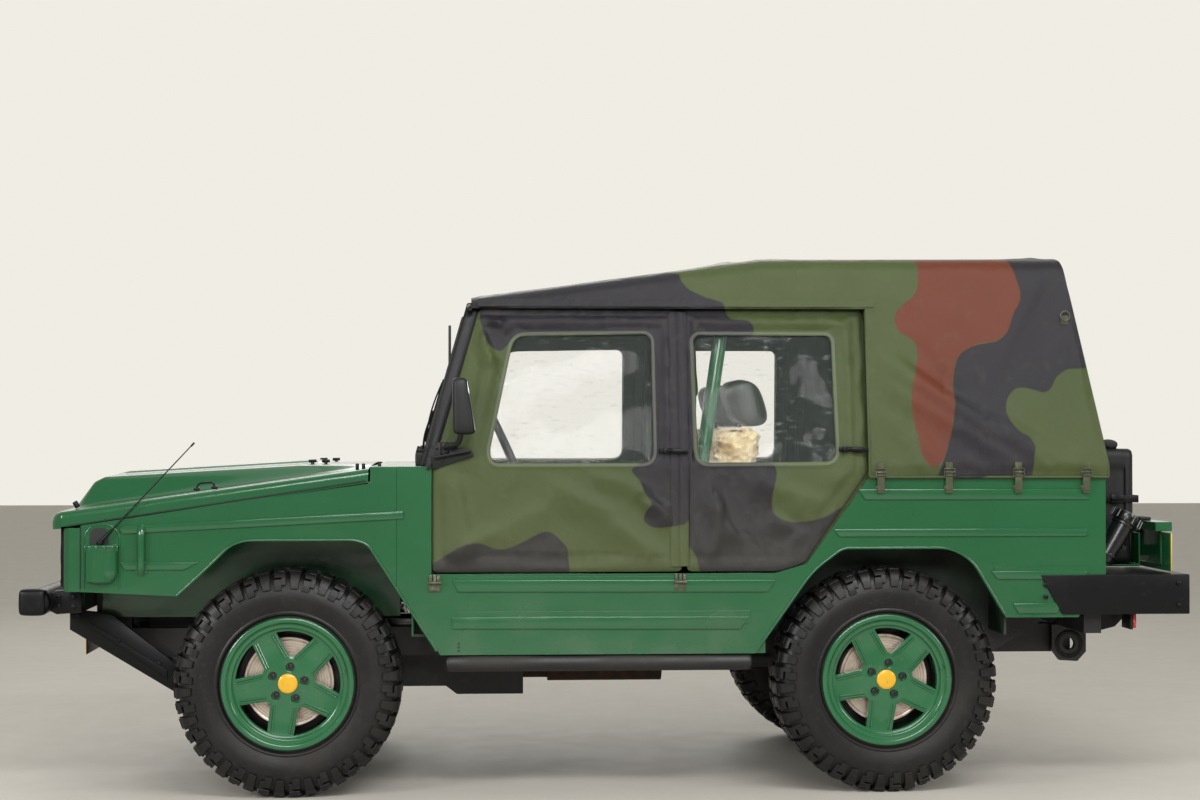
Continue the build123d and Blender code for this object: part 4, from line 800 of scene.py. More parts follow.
antenna = [placed_rod((1.701, 0.775, 0.846), (1.701, 0.775, 0.860), 0.011, 0.003, 20),
           placed_rod((1.701, 0.775, 0.854), (1.661, 0.775, 0.897), 0.0072, 0.001, 16, 0.0045),
           placed_rod((1.661, 0.775, 0.897), (1.397, 0.775, 1.180), 0.0028, 0, 12, 0.0018),
           placed_rod((1.404, 0.775, 1.172), (1.393, 0.775, 1.184), 0.0034, 0.001, 12)]
fitted(joined(antenna), "antenna-mast", satin_black, instead_of=["antenna"])

# the dark joints left between the nose, the fenders and the lid
joints = [piped([(1.768, HALF + 0.0004, 0.702), (1.768, HALF + 0.0004, 0.903)], 0.0022),
          piped([(x, HALF + 0.0008, 0.9055 + (NOSE_X - x) / (NOSE_X - HOOD_REAR_X) * 0.152)
                 for x in (1.815, 1.5, 1.2, 0.83)], 0.0026)]
fitted(to_both_sides(joined(joints)), "panel-joints", painted_shade_and_joints)

hinges = []
for x in (0.599, -0.224):
    for across in (-0.013, 0, 0.013):
        hinges.append(placed_box((x + across, HALF + 0.007, 0.728), (0.011, 0.012, 0.030), 0.003))
    hinges.append(placed_box((x, HALF + 0.004, 0.704), (0.040, 0.008, 0.034), 0.002))
    hinges.append(placed_rod((x - 0.021, HALF + 0.012, 0.716), (x + 0.021, HALF + 0.012, 0.716),
                             0.006, 0.001, 14))
    for across in (-0.011, 0.011):
        hinges.append(placed_rod((x + across, HALF + 0.007, 0.698), (x + across, HALF + 0.0105, 0.698),
                                 0.0035, 0.001, 8))
fitted(to_both_sides(joined(hinges)), "sill-hinges", olive_steel)

catches = []
for side in (1, -1):
    for x in (1.341, 1.400):
        catches.append(placed_box((x, side * 0.655, 1.030 + (1.370 - x) * 0.1), (0.020, 0.018, 0.010), 0.003))
    catches.append(piped([(1.338, side * 0.655, 1.033), (1.347, side * 0.655, 1.051),
                          (1.392, side * 0.655, 1.047), (1.403, side * 0.655, 1.028)], 0.0033, 0.008))
for x in (1.038, 0.991):
    for y in (0.30, -0.30):
        catches.append(placed_rod((x, y, 1.098), (x, y, 1.114), 0.006, 0.001, 14))
        catches.append(placed_rod((x - 0.014, y, 1.118), (x + 0.014, y, 1.117), 0.0055, 0.002, 12))
for x in (0.864, 0.843, 0.789):
    catches.append(placed_rod((x, 0.62, 1.085), (x, 0.62, 1.113), 0.006, 0.002, 14))
catches.append(placed_rod((1.800, 0.62, 0.965), (1.812, 0.62, 0.985), 0.009, 0.003, 16))
fitted(joined(catches), "hood-catches", satin_black, "hood")

# ---- Doors ---------------------------------------------------------
# Steel tube frames covered with coated cotton canvas, printed in olive, black and brown
# patches. Each has a hemmed lower edge and a window of clear flexible sheet, welded in.
def rounded_loop(points, radius):
    """A closed run of points with each corner swept round within a radius."""
    points = list(points)
    return rounded_path([points[-1]] + points + [points[0]], radius)[1:-1]


def ring_of(points, radius):
    """A closed outline of (x, z) points with its corners swept round, as an array."""
    return np.array([tuple(p) for p in rounded_loop(points, radius)])


def reach_into(x, z, outline):
    """How far points lie inside a closed outline (below 0 outside), and its nearest points."""
    start = np.asarray(outline, float)
    end = np.roll(start, -1, axis=0)
    run = end - start
    run[(run ** 2).sum(1) < 1e-12] = (1e-6, 0)
    point = np.column_stack([x, z])[:, None, :]
    share = np.clip(((point - start) * run).sum(2) / (run ** 2).sum(1), 0, 1)
    near = start + share[:, :, None] * run
    gap = np.hypot(*(point - near).transpose(2, 0, 1))
    best = gap.argmin(1)
    rows = np.arange(len(x))
    crosses = (start[:, 1] > point[:, :, 1]) != (end[:, 1] > point[:, :, 1])
    rise = np.where(np.abs(run[:, 1]) < 1e-12, 1e-12, run[:, 1])
    at = start[:, 0] + (point[:, :, 1] - start[:, 1]) / rise * run[:, 0]
    inside = (crosses & (point[:, :, 0] < at)).sum(1) % 2 == 1
    return np.where(inside, 1, -1) * gap[rows, best], near[rows, best]


def creases(x, z, folds):
    """Soft ridges along short runs: each is x, z, x, z, half width and height, in metres."""
    total = np.zeros(len(x))
    for x1, z1, x2, z2, width, height in folds:
        run = np.array([x2 - x1, z2 - z1])
        length = np.hypot(*run)
        along = ((x - x1) * run[0] + (z - z1) * run[1]) / length / length
        across = ((x - x1) * run[1] - (z - z1) * run[0]) / length
        ends = np.exp(-np.clip(np.abs(along - 0.5) - 0.28, 0, None) ** 2 / 0.03)
        # steep on one side and long on the other, as a fold of coated cloth falls
        lean = np.where(across > 0, 1.0, 0.45)
        total += height * np.exp(-(across * lean / width) ** 2) * ends
    return total


def noted(piece, name, values):
    """Stores one value for each point of a piece, for its finish to read."""
    layer = piece.data.attributes.new(name, "FLOAT", "POINT")
    layer.data.foreach_set("value", values.astype(np.float32))


def facing(piece, way, face=0):
    """Turns a sheet over unless one of its faces looks the way it should."""
    if piece.data.polygons[face].normal.dot(Vector(way)) < 0:
        piece.data.flip_normals()
    return piece


def printed(piece, x, z, black, brown=()):
    """Stores how far each point lies inside the black and the brown patches."""
    for name, patches in (("black", black), ("brown", brown)):
        depth = np.full(len(x), -1.0)
        for patch in patches:
            depth = np.maximum(depth, reach_into(x, z, ring_of(patch, 0.035))[0])
        noted(piece, name, depth)


def lined(piece, thickness):
    """Thickens a sheet inwards and stores where its inner face is, which the canvas finish darkens into
    painted shade.
    """
    outer = len(piece.data.vertices)
    changed(piece, "SOLIDIFY", thickness=thickness, offset=-1)
    noted(piece, "inside", np.arange(len(piece.data.vertices)) >= outer)
    return piece


def points_of(piece):
    places = np.empty(len(piece.data.vertices) * 3, np.float32)
    piece.data.vertices.foreach_get("co", places)
    return places.reshape(-1, 3).astype(float)


BELT_Z, DOOR_TOP_Z, LEAN_TOP_Y = 1.107, 1.642, 0.660
PANE_CORNER = 0.042  # radius of the windows' corners


def door_y(z):
    return np.interp(z, [BELT_Z, DOOR_TOP_Z], [HALF, LEAN_TOP_Y])


DOORS = {
    "front": {
        "outline": [(0.608, 0.750), (0.608, 1.090), (0.602, BELT_Z), (0.448, 1.6445), (-0.232, 1.6445),
                    (-0.232, 0.750)],
        "window": [(0.404, 1.116), (0.416, 1.152), (0.333, 1.546), (-0.117, 1.552), (-0.131, 1.536),
                   (-0.134, 1.116)],
        "folds": [(0.545, 1.10, 0.480, 0.78, 0.030, 0.006), (0.52, 1.12, 0.40, 1.50, 0.026, 0.006),
                  (0.46, 1.60, 0.40, 1.44, 0.014, 0.007), (0.42, 1.62, 0.335, 1.56, 0.012, 0.005),
                  (0.24, 1.06, -0.02, 0.93, 0.028, 0.005), (0.10, 1.09, -0.14, 1.02, 0.018, 0.003),
                  (0.02, 0.93, -0.16, 0.80, 0.022, 0.004), (0.57, 0.80, 0.39, 0.90, 0.020, 0.005),
                  (0.42, 0.86, 0.20, 0.98, 0.030, 0.003), (-0.07, 1.05, -0.21, 0.90, 0.016, 0.005),
                  (-0.09, 0.98, -0.21, 0.97, 0.012, 0.003), (0.33, 0.79, 0.02, 0.78, 0.010, -0.002)],
        "seam": (0.448, -0.038)},
    "rear": {
        "outline": [(-0.247, 0.750), (-0.247, 1.6445), (-0.857, 1.6445), (-0.861, BELT_Z), (-0.861, 1.085),
                    (-0.646, 0.778), (-0.563, 0.750)],
        "window": [(-0.284, 1.116), (-0.278, 1.536), (-0.290, 1.549), (-0.737, 1.549), (-0.749, 1.536),
                   (-0.756, 1.120)],
        "folds": [(-0.30, 1.07, -0.42, 0.84, 0.024, 0.005), (-0.44, 1.08, -0.70, 0.98, 0.024, 0.005),
                  (-0.80, 1.10, -0.62, 0.90, 0.020, 0.005), (-0.36, 1.00, -0.34, 0.78, 0.016, 0.004),
                  (-0.76, 1.06, -0.56, 0.83, 0.016, -0.003), (-0.52, 0.94, -0.66, 0.86, 0.020, 0.003),
                  (-0.80, 1.60, -0.74, 1.52, 0.012, 0.003), (-0.27, 0.95, -0.29, 0.80, 0.012, 0.004)],
        "seam": None}}
LEFT_BLACK = {
    "front": [[(0.46, 1.66), (-0.26, 1.66), (-0.26, 0.913), (-0.187, 0.898), (-0.135, 0.897), (-0.099, 0.919),
               (-0.104, 0.951), (-0.135, 0.981), (-0.104, 1.011), (-0.094, 1.052), (-0.052, 1.092),
               (-0.089, 1.115), (-0.127, 1.142), (-0.132, 1.515), (-0.095, 1.553), (0.326, 1.552),
               (0.377, 1.487), (0.418, 1.511), (0.441, 1.569)],
              [(0.64, 0.72), (0.615, 0.772), (0.562, 0.808), (0.506, 0.846), (0.45, 0.848), (0.383, 0.822),
               (0.328, 0.838), (0.266, 0.873), (0.225, 0.888), (0.184, 0.867), (0.153, 0.827), (0.148, 0.755),
               (0.15, 0.72)]],
    "rear": [[(-0.2, 1.67), (-0.388, 1.67), (-0.394, 1.602), (-0.48, 1.602), (-0.489, 1.544), (-0.3, 1.543),
              (-0.276, 1.516), (-0.275, 1.142), (-0.292, 1.115), (-0.545, 1.115), (-0.555, 1.072),
              (-0.534, 1.01), (-0.539, 0.948), (-0.566, 0.923), (-0.623, 0.912), (-0.675, 0.922),
              (-0.727, 0.937), (-0.785, 0.973), (-0.802, 0.888), (-0.631, 0.72), (-0.298, 0.72),
              (-0.275, 0.805), (-0.254, 0.836), (-0.224, 0.87), (-0.2, 1.2)]]}
RIGHT_BLACK = {
    "front": [[(0.63, 1.10), (0.50, 1.12), (0.42, 1.06), (0.36, 1.08), (0.30, 1.02), (0.33, 0.94),
               (0.42, 0.90), (0.50, 0.92), (0.56, 0.86), (0.64, 0.88)],
              [(-0.26, 1.67), (0.02, 1.67), (0.05, 1.60), (-0.03, 1.56), (-0.10, 1.48), (-0.12, 1.30),
               (-0.16, 1.24), (-0.26, 1.26)]],
    "rear": [[(-0.22, 1.67), (-0.34, 1.67), (-0.33, 1.56), (-0.26, 1.50), (-0.22, 1.40)],
             [(-0.88, 1.40), (-0.77, 1.36), (-0.76, 1.20), (-0.70, 1.10), (-0.60, 1.08), (-0.54, 1.00),
              (-0.42, 0.98), (-0.38, 0.90), (-0.45, 0.82), (-0.60, 0.80), (-0.88, 0.95)]]}
RIGHT_BROWN = {
    "front": [[(0.30, 0.73), (0.27, 0.82), (0.16, 0.88), (0.02, 0.86), (-0.06, 0.93), (-0.15, 0.92),
               (-0.19, 0.84), (-0.13, 0.73)]],
    "rear": []}


def canvas_looks(place):
    """Printed and coated canvas: patches with slightly bled edges, weave, dust and rubbed folds, and a
    painted-shade inner face.
    """
    bleed = (place.noise(16, 3) - 0.5) * 0.012
    patch = {name: place.node("Attribute", {"attribute_name": name}, {}, 2) + bleed
             for name in ("black", "brown")}
    cloud = place.noise(3.2, 4)
    olive = cloud.mix("384224", "45502d")
    black = cloud.mix("1b1a1e", "29272b")
    brown = cloud.mix("54281a", "613221")
    colour = patch["black"].rise(-0.003, 0.003).mix(olive, black)
    colour = patch["brown"].rise(-0.003, 0.003).mix(colour, brown)
    beside = place.node("Attribute", {"attribute_name": "weld"}, {}, 2)
    inside = place.node("Attribute", {"attribute_name": "inside"}, {}, 2)
    weld = beside.rise(0.002, 0.004) * (1 - beside.rise(0.011, 0.014)) * 0.3
    # the inner face goes near-black: the backing's plain colour darkened into painted shade for the cabin; a
    # pale band marks the window weld
    colour = inside.mix(weld.mix(colour, "7b7f74"), "1a1f1c")
    rubbed = place.noise(21, 6, 0.6).rise(0.5, 0.78) * 0.3
    dust = (1 - place.axis("Z").rise(0.7, 1.15)) * 0.12 + rubbed * place.noise(2.3, 2) * 0.6
    weave = [place.wave(letter, 260, 1.2, 1) for letter in "XZ"]
    cockle = place.stretched(1, 1, 0.8).noise(9, 3) * 3.5
    off = place.stretched(1, 1, 0.7).noise(7, 3) - 0.5
    crumple = off.sum("ABSOLUTE", off).rise(0, 0.11) * place.noise(2.6, 2).rise(0.4, 0.62) * 1.8
    return {"Base Color": (dust * (1 - inside)).mix(colour, "6b6a55"),
            "Roughness": rubbed * 0.6 + cloud * 0.1 + 0.31,
            "Normal": (weave[0] * 0.10 + weave[1] * 0.10 + cockle + crumple).bump(0.0012)}


def clear_looks(place):
    """Flexible clear sheet: faint haze and scuffs, and long waves that bend what it reflects."""
    scuff = place.stretched(1, 1, 3).noise(24, 5, 0.6).rise(0.55, 0.8)
    return {"Base Color": scuff.mix("a9b5b0", "c6ccc8"),
            "Alpha": scuff * 0.10 + 0.035, "Roughness": scuff * 0.22 + 0.04,
            "Normal": (place.stretched(1, 1, 0.6).noise(5.5, 2) * 6).bump(0.0016)}


canvas_print = finish_of("printed canvas", canvas_looks, Specular_IOR_Level=0.24)
clear_sheet = finish_of("clear flexible sheet", clear_looks, Specular_IOR_Level=0.8, Coat_Weight=0.3)


def trimmed_grid(name, outline, step, window=None):
    """A flat grid of (x, z) cells cut to an outline, less a window, its edges drawn onto both."""
    (x0, z0), (x1, z1) = outline.min(0), outline.max(0)
    columns, rows = int((x1 - x0) / step) + 1, int((z1 - z0) / step) + 1
    piece = draped(name, columns, rows, lambda u, v: (x0 + u * (x1 - x0), 0 * u, z0 + v * (z1 - z0)))
    places = points_of(piece)
    x, z = places[:, 0], places[:, 2]
    keep = reach_into(x, z, outline)[0] > -step * 0.45
    if window is not None:
        keep &= reach_into(x, z, window)[0] < step * 0.45
    cells = bmesh.new()
    cells.from_mesh(piece.data)
    cells.verts.ensure_lookup_table()
    bmesh.ops.delete(cells, geom=[cells.verts[i] for i in np.flatnonzero(~keep)], context="VERTS")
    bmesh.ops.delete(cells, geom=[v for v in cells.verts if not v.link_faces], context="VERTS")
    edge = [v for v in cells.verts if v.is_boundary]
    x, z = np.array([(v.co.x, v.co.z) for v in edge]).T
    depth, near = reach_into(x, z, outline)
    if window is not None:
        inner, brink = reach_into(x, z, window)
        near = np.where((np.abs(inner) < np.abs(depth))[:, None], brink, near)
    for vertex, (x, z) in zip(edge, near):
        vertex.co = (x, 0, z)
    bmesh.ops.dissolve_degenerate(cells, dist=0.0002, edges=cells.edges[:])
    cells.to_mesh(piece.data)
    cells.free()
    return piece


def door_flap():
    """A doubled strip down the rear edge of a front door that laps over the gap behind it."""
    def place(u, v):
        z = 0.768 + 0.862 * v
        roll = 0.0045 * np.abs(np.sin(u * 2 * math.pi)) + 0.0008 * np.sin(z * 60 + u * 3)
        return -0.193 - 0.060 * u, door_y(z) + 0.0005 + roll * np.sin(math.pi * u) ** 0.3, z
    flap = facing(draped("flap", 14, 60, place), (0, 1, 0))
    return eased(changed(flap, "SOLIDIFY", thickness=0.0025, offset=-1), 0.0)


def door_skin(kind, shape):
    outline, window = ring_of(shape["outline"], 0.020), ring_of(shape["window"], PANE_CORNER)
    skin = trimmed_grid("skin", outline, 0.0095, window)
    places = points_of(skin)
    x, z = places[:, 0], places[:, 2]
    edge, rim = reach_into(x, z, outline)[0], -reach_into(x, z, window)[0]
    rear_x = shape["outline"][-1][0] if kind == "front" else -0.853
    lean_front = 0.598 - (z - BELT_Z) * 0.288 if kind == "front" else -0.248 + 0 * z
    high = soft_step(z, 1.06, 1.14)
    beside = np.minimum(DOOR_TOP_Z - z, np.abs(x - rear_x))
    if kind == "rear":
        beside = np.minimum(beside, np.abs(lean_front - x) + 0.01)
    tube = hump(beside, 0.047, 0.013) * high
    pinch = hump(beside, 0.026, 0.007) * high + 0.7 * hump(beside, 0.071, 0.008) * high
    pucker = np.sin(x * 95 + 1.7 * np.sin(z * 31)) * np.exp(-beside / 0.05) * high
    hem = np.exp(-np.clip(z - 0.786, 0, None) / 0.004) - 0.8 * hump(z, 0.795, 0.004)
    gather = np.sin(x * 150) * hump(z, 0.80, 0.022)
    relief = 0.0075 * tube - 0.0035 * pinch + 0.0020 * pucker + 0.002 * hem + 0.0014 * gather
    relief += 3.3 * creases(x, z, shape["folds"]) * soft_step(edge, 0.01, 0.05) * soft_step(rim, 0.012, 0.05)
    if shape["seam"]:
        front, rear = shape["seam"]
        seam = hump(z, 0.807, 0.0035) * soft_step(-x, -front, -front + 0.01)
        relief -= 0.0035 * seam * soft_step(x, rear, rear + 0.01)
    relief += 0.002 * np.exp(-((rim - 0.010) / 0.007) ** 4) - 0.0018 * np.exp(-((rim - 0.023) / 0.004) ** 2)
    relief -= 0.007 * np.exp(-edge / 0.006)
    relief += 0.0012 * np.sin(x * 23 + z * 17) * np.sin(z * 29 - x * 11)
    turned_out(reshaped(skin, np.column_stack([x, door_y(z) + relief - 0.003, z])))
    return eased(lined(facing(skin, (0, 1, 0)), 0.021), 0.0)


def door_pane(shape):
    outline = ring_of(shape["window"], PANE_CORNER)
    middle = outline.mean(0)
    outline = middle + (outline - middle) * 1.03
    pane = trimmed_grid("pane", outline, 0.016)
    places = points_of(pane)
    x, z = places[:, 0], places[:, 2]
    depth = np.clip(reach_into(x, z, outline)[0], 0, 0.06)
    wave = 0.0035 * np.sin(x * 13 + z * 7 + 0.6) * np.sin(z * 15 - x * 6) * depth / 0.06
    facing(reshaped(pane, np.column_stack([x, door_y(z) - 0.012 + wave, z])), (0, 1, 0))
    return eased(changed(pane, "SOLIDIFY", thickness=0.001, offset=-1), 0.0)


def door_handle(x, z):
    """A black lever on a round boss, with its catch plate."""
    y = float(door_y(z))
    lever = piped([(x + 0.030, y + 0.012, z + 0.002), (x - 0.015, y + 0.022, z),
                   (x - 0.048, y + 0.018, z - 0.004)],
                  0.0062, 0.02)
    boss = placed_rod((x + 0.028, y - 0.004, z), (x + 0.028, y + 0.022, z), 0.0105, 0.003, 18)
    grip = placed_box((x - 0.016, y + 0.0215, z - 0.0005), (0.050, 0.009, 0.014), 0.004)
    plate = placed_box((x + 0.006, y + 0.001, z - 0.001), (0.082, 0.008, 0.018), 0.003)
    return joined([lever, boss, grip, plate])


HANDLES = {"front": (-0.203, 1.156), "rear": (-0.812, 1.162)}
for kind, shape in DOORS.items():
    skin, pane, handle = door_skin(kind, shape), door_pane(shape), door_handle(*HANDLES[kind])
    if kind == "front":
        skin = joined([skin, door_flap()])
    for side in ("left", "right"):
        body = f"door_{kind}_{side}"
        pieces = [copied(model, side) for model in (skin, pane, handle)]
        cloth = fitted(pieces[0], f"door-{kind}-{side}", canvas_print, body, [body])
        places = points_of(cloth)
        black, brown = (LEFT_BLACK[kind], []) if side == "left" else (RIGHT_BLACK[kind], RIGHT_BROWN[kind])
        printed(cloth, places[:, 0], places[:, 2], black, brown)
        weld = -reach_into(places[:, 0], places[:, 2], ring_of(shape["window"], PANE_CORNER))[0]
        noted(cloth, "weld", weld)
        fitted(pieces[1], f"door-window-{kind}-{side}", clear_sheet, body,
               [f"door_pane_{kind}_{side}"])
        fitted(pieces[2], f"door-handle-{kind}-{side}", satin_black, body)
    for model in (skin, pane, handle):
        bpy.data.objects.remove(model)

# ---- Canvas top ----------------------------------------------------
# One sheet of the same printed canvas is stretched over the roll hoop and a bow, and buttoned
# down to the tub. A second sheet with a clear window closes the back, and both are hemmed.
FRONT_X, PEAK_X, ROOF_REAR_X, OPEN_X, HEM_Z = 0.478, -0.514, -1.553, -0.8655, 1.064
BOW_X, REAR_BOW_X = -0.412, -1.489  # tubes that show through the roof


def shoulder_z(x):
    return np.interp(x, [-1.770, PEAK_X, FRONT_X], [1.819, 1.811, 1.676])


def tail_x(z):
    return np.interp(z, [1.107, 1.680, 1.812, 1.85], [-1.6905, -1.577, -1.553, -1.545])


def roof_section(x, shares):
    """Half the roof's section at x, from just above the doors up over the shoulder to the middle."""
    top = float(shoulder_z(x))
    low = np.interp(1.640, [1.107, max(top - 0.038, 1.641)], [0.766, 0.675])
    corners = [(low, 1.640)] + ([(0.675, top - 0.038)] if top > 1.690 else [])
    corners += [(0.647, top - 0.008), (0.587, top + 0.006), (0.30, top + 0.025), (0.0, top + 0.030)]
    path = np.array([tuple(p) for p in rounded_path(corners, 0.05)])
    reach = np.concatenate(([0], np.cumsum(np.hypot(*np.diff(path, axis=0).T))))
    return [np.interp(shares * reach[-1], reach, path[:, k]) for k in (0, 1)]


SIDE_FOLDS = [
    (-0.880, 1.530, -1.330, 1.190, 0.022, 0.010), (-0.870, 1.490, -1.560, 1.090, 0.030, 0.013),
    (-0.900, 1.400, -1.380, 1.110, 0.018, 0.008), (-1.300, 1.270, -1.640, 1.090, 0.022, 0.010),
    (-1.020, 1.540, -1.190, 1.320, 0.026, -0.007), (-1.560, 1.700, -1.640, 1.180, 0.018, 0.007),
    (-0.885, 1.300, -1.120, 1.120, 0.016, 0.006), (-1.480, 1.770, -1.300, 1.420, 0.030, 0.006),
    (-0.930, 1.700, -1.250, 1.600, 0.024, 0.004), (-1.180, 1.150, -1.260, 1.080, 0.012, 0.005),
    (-1.400, 1.180, -1.500, 1.080, 0.012, 0.005), (-1.000, 1.200, -1.060, 1.080, 0.012, 0.004)]
ROOF_BLACK = [
    [(0.52, 1.60), (-0.384, 1.62), (-0.384, 1.661), (-0.323, 1.677), (-0.247, 1.708), (-0.216, 1.80),
     (-0.10, 1.95), (0.06, 2.05), (0.20, 2.22), (0.34, 2.30), (0.52, 2.28)],
    [(-1.356, 1.83), (-1.39, 1.749), (-1.408, 1.688), (-1.37, 1.617), (-1.358, 1.566), (-1.321, 1.53),
     (-1.24, 1.52), (-1.178, 1.485), (-1.16, 1.404), (-1.162, 1.314), (-1.152, 1.234), (-1.126, 1.135),
     (-1.08, 1.03), (-1.423, 1.03), (-1.433, 1.174), (-1.416, 1.204), (-1.362, 1.234), (-1.338, 1.284),
     (-1.345, 1.334), (-1.371, 1.37), (-1.422, 1.37), (-1.477, 1.35), (-1.504, 1.375), (-1.515, 1.405),
     (-1.552, 1.435), (-1.633, 1.435), (-1.72, 1.60), (-1.66, 2.02), (-1.50, 2.10), (-1.38, 2.00)],
    [(-0.60, 2.12), (-0.44, 2.08), (-0.36, 2.20), (-0.42, 2.36), (-0.36, 2.52), (-0.50, 2.62), (-0.66, 2.54),
     (-0.74, 2.36)],
    [(0.52, 2.62), (0.30, 2.66), (0.14, 2.78), (0.18, 2.96), (0.06, 3.12), (0.52, 3.30)],
    [(-0.90, 2.84), (-1.10, 2.80), (-1.24, 2.92), (-1.20, 3.10), (-1.30, 3.26), (-1.24, 3.46), (-1.10, 3.50),
     (-1.02, 3.34), (-1.06, 3.16), (-0.94, 3.04)],
    [(-1.72, 3.20), (-1.58, 3.22), (-1.50, 3.36), (-1.56, 3.56), (-1.48, 3.72), (-1.60, 3.90), (-1.75, 3.90)]]
ROOF_BROWN = [
    [(-1.05, 1.86), (-1.052, 1.696), (-0.98, 1.645), (-0.963, 1.605), (-0.982, 1.555), (-1.037, 1.535),
     (-1.046, 1.484), (-1.023, 1.404), (-1.011, 1.314), (-1.028, 1.224), (-1.046, 1.135), (-1.085, 1.085),
     (-1.126, 1.135), (-1.152, 1.234), (-1.162, 1.314), (-1.16, 1.404), (-1.178, 1.485), (-1.24, 1.52),
     (-1.321, 1.53), (-1.358, 1.566), (-1.37, 1.617), (-1.408, 1.688), (-1.39, 1.749), (-1.356, 1.86),
     (-1.24, 1.98), (-1.12, 1.96)],
    [(-0.02, 2.30), (0.16, 2.36), (0.20, 2.50), (0.06, 2.60), (-0.10, 2.56), (-0.16, 2.42)],
    [(-0.90, 3.52), (-1.02, 3.60), (-1.18, 3.58), (-1.28, 3.68), (-1.26, 3.86), (-0.86, 3.86)],
    [(-1.30, 2.40), (-1.44, 2.36), (-1.56, 2.46), (-1.54, 2.66), (-1.42, 2.74), (-1.32, 2.62)]]
BACK_BLACK = [
    [(0.80, 1.90), (0.80, 1.36), (0.66, 1.30), (0.60, 1.44), (0.50, 1.60), (0.52, 1.90)],
    [(0.30, 1.02), (0.24, 1.12), (0.08, 1.20), (-0.12, 1.18), (-0.22, 1.10), (-0.20, 1.02)],
    [(-0.80, 1.60), (-0.62, 1.58), (-0.52, 1.70), (-0.30, 1.72), (-0.20, 1.90), (-0.80, 1.90)]]
BACK_BROWN = [[(-0.80, 1.00), (-0.80, 1.30), (-0.64, 1.34), (-0.54, 1.24), (-0.50, 1.10), (-0.40, 1.00)]]


def roof_place(u, v):
    """u runs from the screen to the tail, v from the left hem over the roof to the right hem."""
    y, z = np.zeros(len(u)), np.zeros(len(u))
    side = np.where(v <= 0.5, 1, -1)
    rise = 1 - np.abs(2 * v - 1)
    high = rise >= 0.5
    x = np.where(u < 0.5, FRONT_X + (OPEN_X - FRONT_X) * u * 2,
                 OPEN_X + (ROOF_REAR_X - OPEN_X) * (u - 0.5) * 2)
    for place in np.unique(np.round(x, 7)):
        row = (np.abs(x - place) < 1e-6) & high
        y[row], z[row] = roof_section(place, (rise[row] - 0.5) * 2)
    low_z = HEM_Z + (1.640 - HEM_Z) * rise * 2
    z = np.where(high, z, low_z)
    top = np.maximum(shoulder_z(x) - 0.038, 1.641)
    lean = 0.766 - (np.clip(low_z, 1.107, None) - 1.107) / (top - 1.107) * 0.091
    y = np.where(high, y, lean)
    ends = tail_x(np.minimum(z, 1.83))
    x = np.where(u > 0.5, OPEN_X + (ends - OPEN_X) * (u - 0.5) * 2, x)
    # the cloth hangs from the shoulder, sags between hoop and bow, and pulls in diagonal folds
    shifted = np.where(side > 0, x, x + 0.06 * np.sin(z * 9))
    fold = creases(shifted, z, SIDE_FOLDS) * soft_step(-x, 0.86, 0.92) * (1 - soft_step(z, 1.72, 1.79))
    pinned = soft_step(z, HEM_Z, HEM_Z + 0.05) * soft_step(x, -1.72, -1.64)
    wave = 0.003 * np.sin(x * 17 + z * 6) * np.sin(z * 13 - x * 5 + side)
    y = y + np.where(z < 1.79, (fold + wave) * pinned, 0) - 0.004 * (1 - pinned) * (z < 1.5)
    flat = soft_step(-y, -0.60, -0.50)
    held_at = [FRONT_X, BOW_X, PEAK_X - 0.05, REAR_BOW_X, ROOF_REAR_X]
    for front, rear in zip(held_at, held_at[1:]):
        share = np.clip((front - x) / (front - rear), 0, 1)
        z = z - 0.012 * min(1, (front - rear) / 0.6) * np.sin(share * math.pi) ** 2 * flat
    z = z - 0.024 * np.clip((x - FRONT_X + 0.034) / 0.034, 0, 1) ** 2.2 * flat
    z = z + 0.003 * np.sin(x * 21 + y * 7) * np.sin(y * 11 - x * 8) * flat
    z = z + 0.004 * hump(x, BOW_X, 0.03) * flat + 0.004 * hump(x, REAR_BOW_X, 0.022) * flat
    return x, y * side, z


def stitched(piece, thickness, doomed):
    """Cuts away the doomed points, thickens the sheet inwards and smooths its shading."""
    cells = bmesh.new()
    cells.from_mesh(piece.data)
    cells.verts.ensure_lookup_table()
    bmesh.ops.delete(cells, geom=[cells.verts[i] for i in np.flatnonzero(doomed)], context="VERTS")
    cells.to_mesh(piece.data)
    cells.free()
    return eased(lined(piece, thickness), 0.0)


roof = draped("roof", 180, 240, roof_place)
places = points_of(roof)
facing(roof, (0, 0, 1), len(roof.data.polygons) // 2)
over_doors = (places[:, 0] > OPEN_X + 0.002) & (places[:, 2] < 1.638)
stitched(roof, 0.0022, over_doors)
places = points_of(roof)
drop = places[:, 2]
girth = np.where(np.abs(places[:, 1]) < 0.64, 1.80 + 0.64 - np.abs(places[:, 1]), drop)
girth = np.where(places[:, 1] < 0, 4.88 - girth, girth)
fitted(roof, "canvas-roof", canvas_print, instead_of=["canvas_top"])
printed(roof, places[:, 0], girth, ROOF_BLACK, ROOF_BROWN)


def back_place(u, v):
    """u runs from the left corner to the right, v from the hem to the roof."""
    z = HEM_Z + (shoulder_z(-1.56) + 0.028 - HEM_Z) * v
    side_y = np.interp(z, [1.107, 1.780, 1.812, 1.847], [0.764, 0.674, 0.644, 0.05])
    y = (1 - 2 * u) * side_y
    top = soft_step(z, 1.79, 1.85)
    bow = 0.012 * (1 - (y / 0.75) ** 2) * np.sin(np.clip((z - HEM_Z) / 0.74, 0, 1) * math.pi)
    wave = 0.004 * np.sin(y * 16 + z * 5) * np.sin(z * 14 - y * 4) * soft_step(z, HEM_Z, HEM_Z + 0.06)
    return tail_x(z) + 0.004 - bow * 0.4 - wave * (1 - top) + 0.010 * top, y, z


